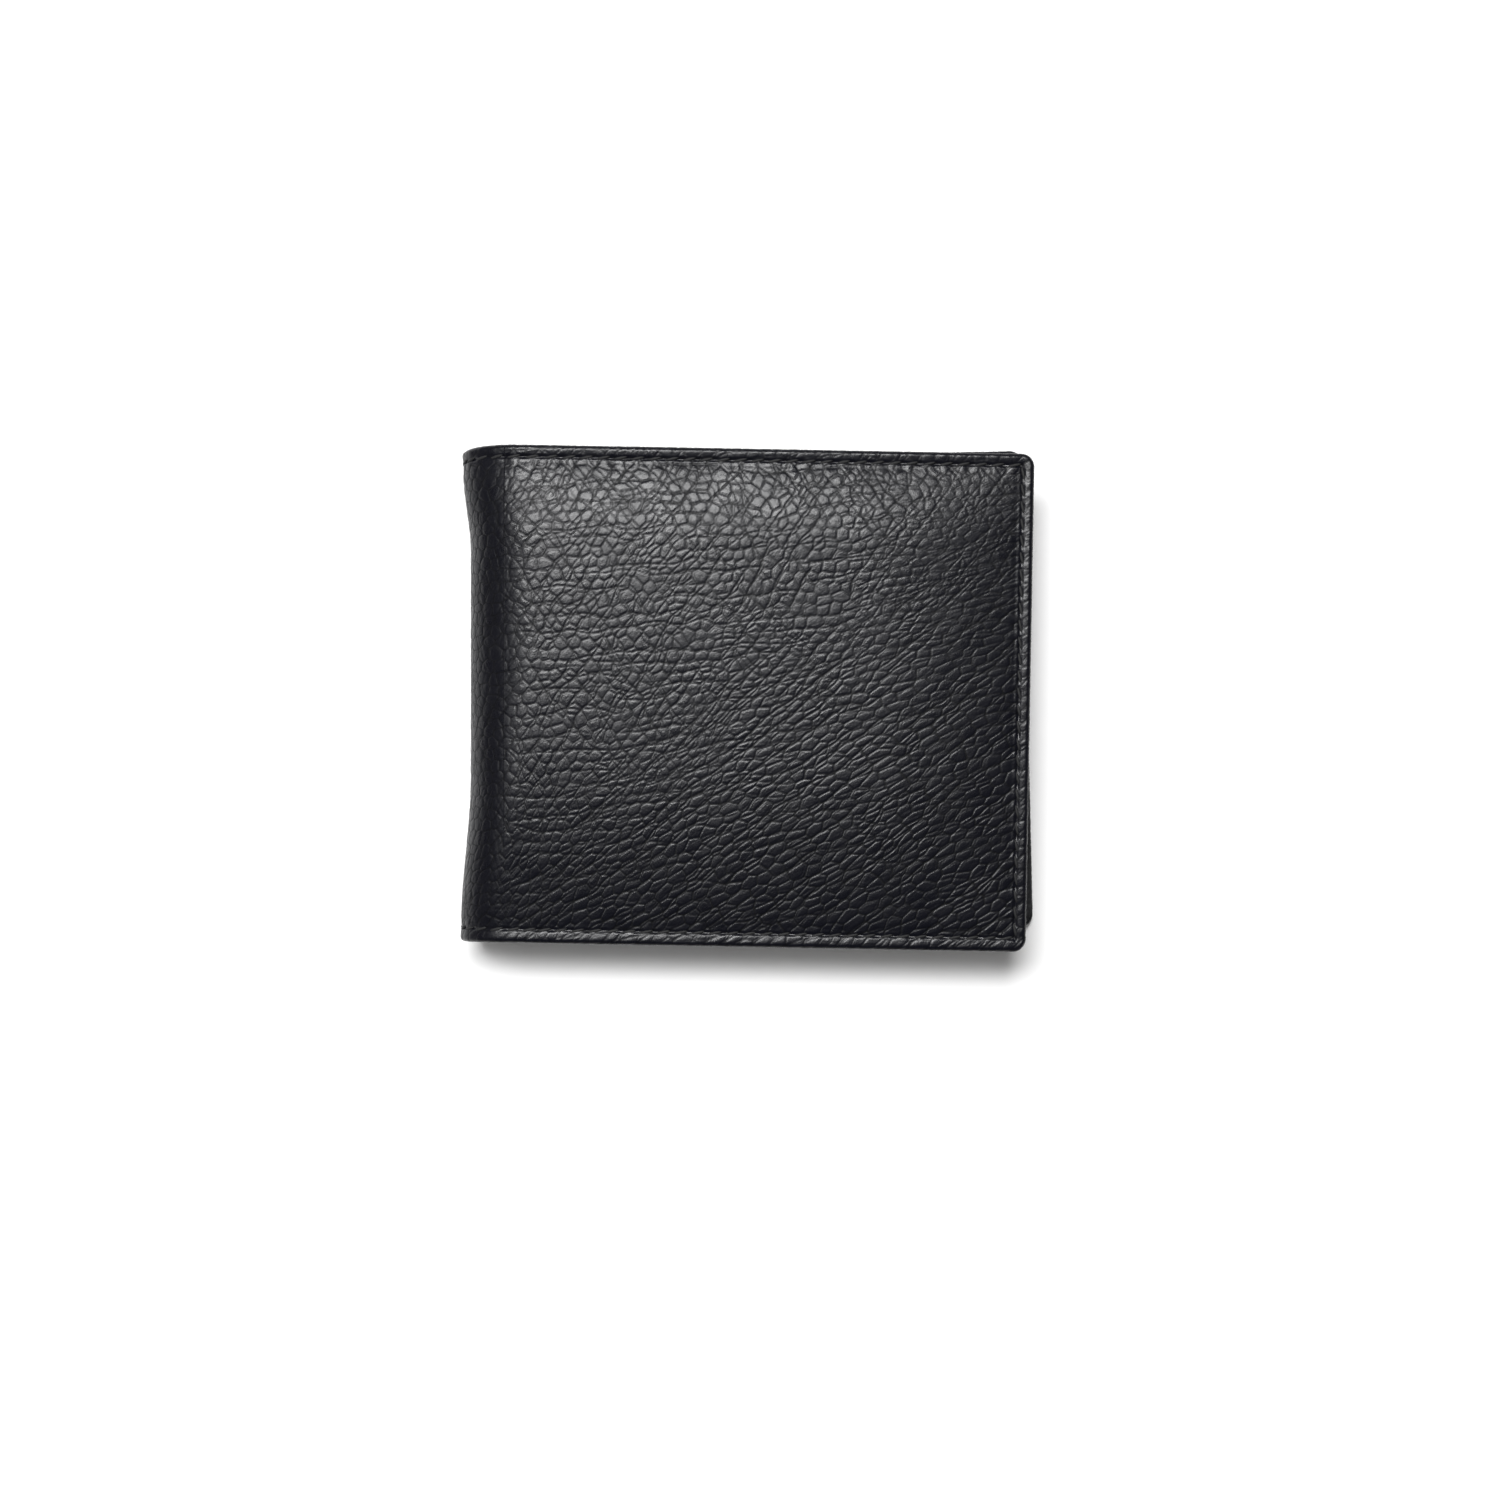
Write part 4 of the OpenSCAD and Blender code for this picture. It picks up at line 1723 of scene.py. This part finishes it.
@dataclass(frozen=True)
class Wing(HalfPart):
    """The leather wing that carries the pockets and closes the note pocket.

    Its flange lies at the brim, sewn to the cover, and its middle dips towards the meeting plane.
    """

    leather_t: float = 0.4
    brim: float = 6.3
    dip: float = 4.13
    dip_slope: float = 6.0
    head: float = 46.1
    inset: float = 0.6
    fold_gap: float = 2.5
    seam_stop: float = 0.5

    @property
    def span(self) -> Span:
        """The wing's reach from the fold and along the height."""
        across = (self.fold_gap, self.half.width - self.inset)
        return across, (-SIZES.cover_h / 2 + self.inset, self.head)

    def surface(self, behind: float) -> Surface:
        """The wing's inner face, or the sheet that lies a distance behind it."""

        def face(x: Array, y: Array) -> Array:
            fore = ease((self.half.width - SIZES.rim_w - x) / self.dip_slope)
            foot = ease((y + SIZES.cover_h / 2 - SIZES.rim_w) / self.dip_slope)
            return self.half.place(x, y, self.brim - self.dip * fore * foot + behind)

        return face

    def build(self) -> None:
        """Makes the wing, its lining and the seam along its fore and foot edges."""
        wing = Slab(
            self.named("wing"), *self.span, self.surface(0.0), self.leather_t,
            -self.half.side, pitch=0.8, corner=SIZES.corner_r, edge_round=CUT_EDGE_ROUND,
        ).build(self.finishes.inner)
        self.settle(wing, "wing_leather", "inner_leather")
        behind = self.surface(self.leather_t)
        self.lay("wing_cloth", "wing_lining", self.span, behind, "wing", SIZES.corner_r)
        flange, thread, inward = self.level(self.brim), self.seam.thread, -self.half.side
        right, foot = self.half.width - self.seam.fore, self.seam.foot - SIZES.cover_h / 2
        top, near = (right, self.head - self.seam_stop), (self.fold_gap + self.seam_stop, foot)
        self.sew("wing_stitches", "wing_stitching", [
            StitchRow(flange, top, (right, foot), thread, inward),
            StitchRow(flange, (right, foot), near, thread, inward),
        ])


@dataclass(frozen=True)
class CardPockets(HalfPart):
    """Four stepped card pockets on the wing: a whole panel at the foot, then strips on cloth."""

    wing: Wing
    lips: tuple[float, ...] = (3.1, 14.1, 25.1, 36.1)
    left: float = 3.0
    width: float = 87.4
    foot: float = -38.3
    depth: float = 44.0
    strip_h: float = 16.0
    leaf_t: float = 0.4
    step: float = 0.48
    meeting_gap: float = 0.25
    touch: float = 0.04
    liner_inset: float = 1.2
    line_below_lip: float = 1.5
    line_w: float = 0.35
    line_depth: float = 0.14
    side_seam: float = 0.9
    seam_above_foot: float = 0.8
    seam_above_lip: float = 0.3
    seam_below_lip: float = 0.4

    @property
    def right(self) -> float:
        """Where the pockets end, from the fold."""
        return self.left + self.width

    def floor(self, k: int) -> float:
        """Height of pocket k's face; each pocket lies behind the one below it."""
        return self.meeting_gap + (k - 1) * self.step

    def surface(self, k: int) -> Surface:
        """The face of pocket k: a creased line under its lip, and sewn edges that drop to the wing."""
        floor, lip = self.floor(k), self.lips[k - 1]
        room = self.wing.brim - self.wing.dip - self.touch - floor - self.leaf_t
        next_leaf = 0.0 if k == len(self.lips) else self.leaf_t + self.touch

        def face(x: Array, y: Array) -> Array:
            line = self.line_depth * bump(y, lip - self.line_below_lip, self.line_w)
            inward = np.minimum(x - self.left, self.right - x)
            if k == 1:
                inward = np.minimum(inward, y - self.foot)
            over_next = next_leaf * blend(y, lip - 8.0, lip - 5.5)
            drop = ease(1.0 - inward / self.liner_inset) * np.maximum(room - over_next, 0.0)
            return self.half.place(x, y, floor + line + drop)

        return face

    def build_leaf(self, k: int) -> None:
        """Makes the leather of pocket k."""
        lip = self.lips[k - 1]
        low = self.foot if k == 1 else lip - self.strip_h
        leaf = Slab(
            self.named(f"pocket_leaf_{k}"), (self.left, self.right), (low, lip), self.surface(k),
            self.leaf_t, -self.half.side, pitch=0.4, edge_round=CUT_EDGE_ROUND,
        ).build(self.finishes.inner)
        self.settle(leaf, f"card_pocket_{k}", "inner_leather")

    def build_liner(self, k: int) -> None:
        """Makes the cloth that carries the strip of pocket k."""
        lip = self.lips[k - 1]
        across = self.left + self.liner_inset, self.right - self.liner_inset
        span = across, (max(lip - self.depth, self.foot), lip - self.strip_h)
        middle = self.level(self.floor(k) + (self.leaf_t - LINING_T) / 2)
        self.lay(f"pocket_cloth_{k}", f"pocket_liner_{k}", span, middle, f"pocket_leaf_{k}", 0.0)

    def side_rows(self, k: int) -> list[StitchRow]:
        """The stitches down both sides of what shows of pocket k."""
        low, high = self.foot + self.seam_above_foot, self.lips[k - 1] - self.seam_below_lip
        if k > 1:
            low = self.lips[k - 2] + self.seam_above_lip
        return [
            StitchRow(self.surface(k), (x, low), (x, high), POCKET_THREAD, -self.half.side)
            for x in (self.left + self.side_seam, self.right - self.side_seam)
        ]

    def build(self) -> None:
        """Makes the pockets, their liners and their seams, from the lowest up."""
        numbers = range(1, len(self.lips) + 1)
        for k in numbers:
            self.build_leaf(k)
        for k in numbers[1:]:
            self.build_liner(k)
        rows = [row for k in numbers for row in self.side_rows(k)]
        self.sew("pocket_stitches", "pocket_stitching", rows)


@dataclass(frozen=True)
class CoverInside(HalfPart):
    """What lies against one cover from inside: foam, board and the note pocket's lining."""

    skin_t: float = 1.1
    foam_t: float = 0.3
    foam_inset: float = 1.0
    lining_inset: float = 0.9
    fold_lap: float = 1.5

    def build_lining(self) -> None:
        """Makes the lining that the notes lie against; it laps a little past the fold."""
        high = SIZES.cover_h / 2 - self.lining_inset
        span = (-self.fold_lap, self.half.width - self.lining_inset), (-high, high)
        under_rim = self.level(SIZES.rim_top - SIZES.rim_t)
        self.lay("note_lining", "cover_lining", span, under_rim, "cover_skin", SIZES.corner_r)

    def build_padding(self) -> None:
        """Makes the foam under the leather, and gives the board its own finish."""
        shape = CoverShape(self.half, self.seam)
        edge = SIZES.rim_w + self.foam_inset
        high = SIZES.cover_h / 2 - edge

        def under_skin(x: Array, y: Array) -> Array:
            return self.half.place(x, y, shape.face(x, y) - self.skin_t)

        pad = Slab(
            self.named("foam_pad"), (0.0, self.half.width - edge), (-high, high), under_skin,
            self.foam_t, self.half.side, CLOTH_PITCH, SIZES.corner_r,
        ).build(self.finishes.foam)
        self.settle(pad, "cover_foam", "foam")
        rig.padded(pad, fill=0.4)
        board = frame["nodes"][self.named("cover_board")].data
        board.materials.clear()
        board.materials.append(self.finishes.board)

    def build(self) -> None:
        """Makes the lining and the padding."""
        self.build_lining()
        self.build_padding()


@dataclass(frozen=True)
class SpineLining:
    """The cloth that lines the fold from cover to cover; flat_w is its width before it is bent."""

    shape: SpineShape
    finishes: Finishes
    skin_t: float = 1.15
    end_inset: float = 1.2
    flat_w: float = 24.4

    def build(self) -> None:
        """Makes the lining just inside the spine's leather."""
        high = SIZES.cover_h / 2 - self.end_inset

        def inside(u: Array, v: Array) -> Array:
            points = self.shape.surface(u, v)
            return points - directions(points) * self.skin_t

        span = (-SIZES.fold_length, 0.0), (-high, high)
        slab = Slab("spine_cloth", *span, inside, LINING_T, self.shape.outward, pitch=0.8)
        cloth = slab.build(self.finishes.lining)
        settle_on_spine(cloth, "spine_lining", "lining")
        size = (self.flat_w * MM, 2 * high * MM)
        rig.sheet(cloth, flat=size, held="stretched", rests_on=["spine_skin"])


# ---- What is written down, and the order of work -----------------------------


def measure_points(sight: Sight) -> None:
    """Writes how far the wallet's outlines and seams show from their image points."""
    pieces = bpy.data.objects
    front, back, spine = pieces["front_cover_skin"], pieces["back_cover_skin"], pieces["spine_skin"]
    stitches = pieces["front_edge_stitches"]
    points = PointLog(sight)
    points.outline("wallet_left", Side.LEFT, spine)
    points.outline("wallet_right", Side.RIGHT, front, back)
    points.outline("wallet_top", Side.TOP, front, back, spine)
    points.outline("wallet_bottom", Side.BOTTOM, front, back, spine)
    points.outline("spine_left", Side.LEFT, spine)
    points.outline("fore_edge_right", Side.RIGHT, front)
    points.outline("head_edge_top", Side.TOP, front)
    points.outline("foot_edge_bottom", Side.BOTTOM, front)
    points.row("head_seam", Side.TOP, stitches)
    points.row("fore_seam", Side.RIGHT, stitches)
    points.row("foot_seam", Side.BOTTOM, stitches)
    points.write("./points.json")


def write_sizes() -> None:
    """Writes the bounds of the CAD and of the finished wallet, in metres."""
    low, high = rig.bounds()
    boxes = {
        "cad": {"low": list(CAD_LOW), "high": list(CAD_HIGH)},
        "finished": {"low": list(low), "high": list(high)},
    }
    with open("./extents.json", "w", encoding="utf-8") as out:
        json.dump(boxes, out, indent=1)


def main() -> None:
    """Builds the studio and dresses the wallet, outside first."""
    logging.basicConfig(level=logging.INFO, stream=sys.stdout, format="%(message)s")
    sight = Sight(Studio().build())
    bpy.context.view_layer.update()
    finishes = make_finishes()
    # The seam's channel is placed on the CAD's cover, and its thread then on the finished skin.
    seam = sight.seam(frame["nodes"]["front_cover_leather"])
    OuterLeather(seam, finishes).build()
    stitched = sight.seam(bpy.data.objects["front_cover_skin"])
    Stitching(stitched, finishes).build()
    for half in (FRONT, BACK):
        wing = Wing(half, seam, finishes)
        wing.build()
        CardPockets(half, seam, finishes, wing).build()
        CoverInside(half, seam, finishes).build()
    SpineLining(SpineShape(seam), finishes).build()
    measure_points(sight)
    write_sizes()


if __name__ == "__main__":
    main()
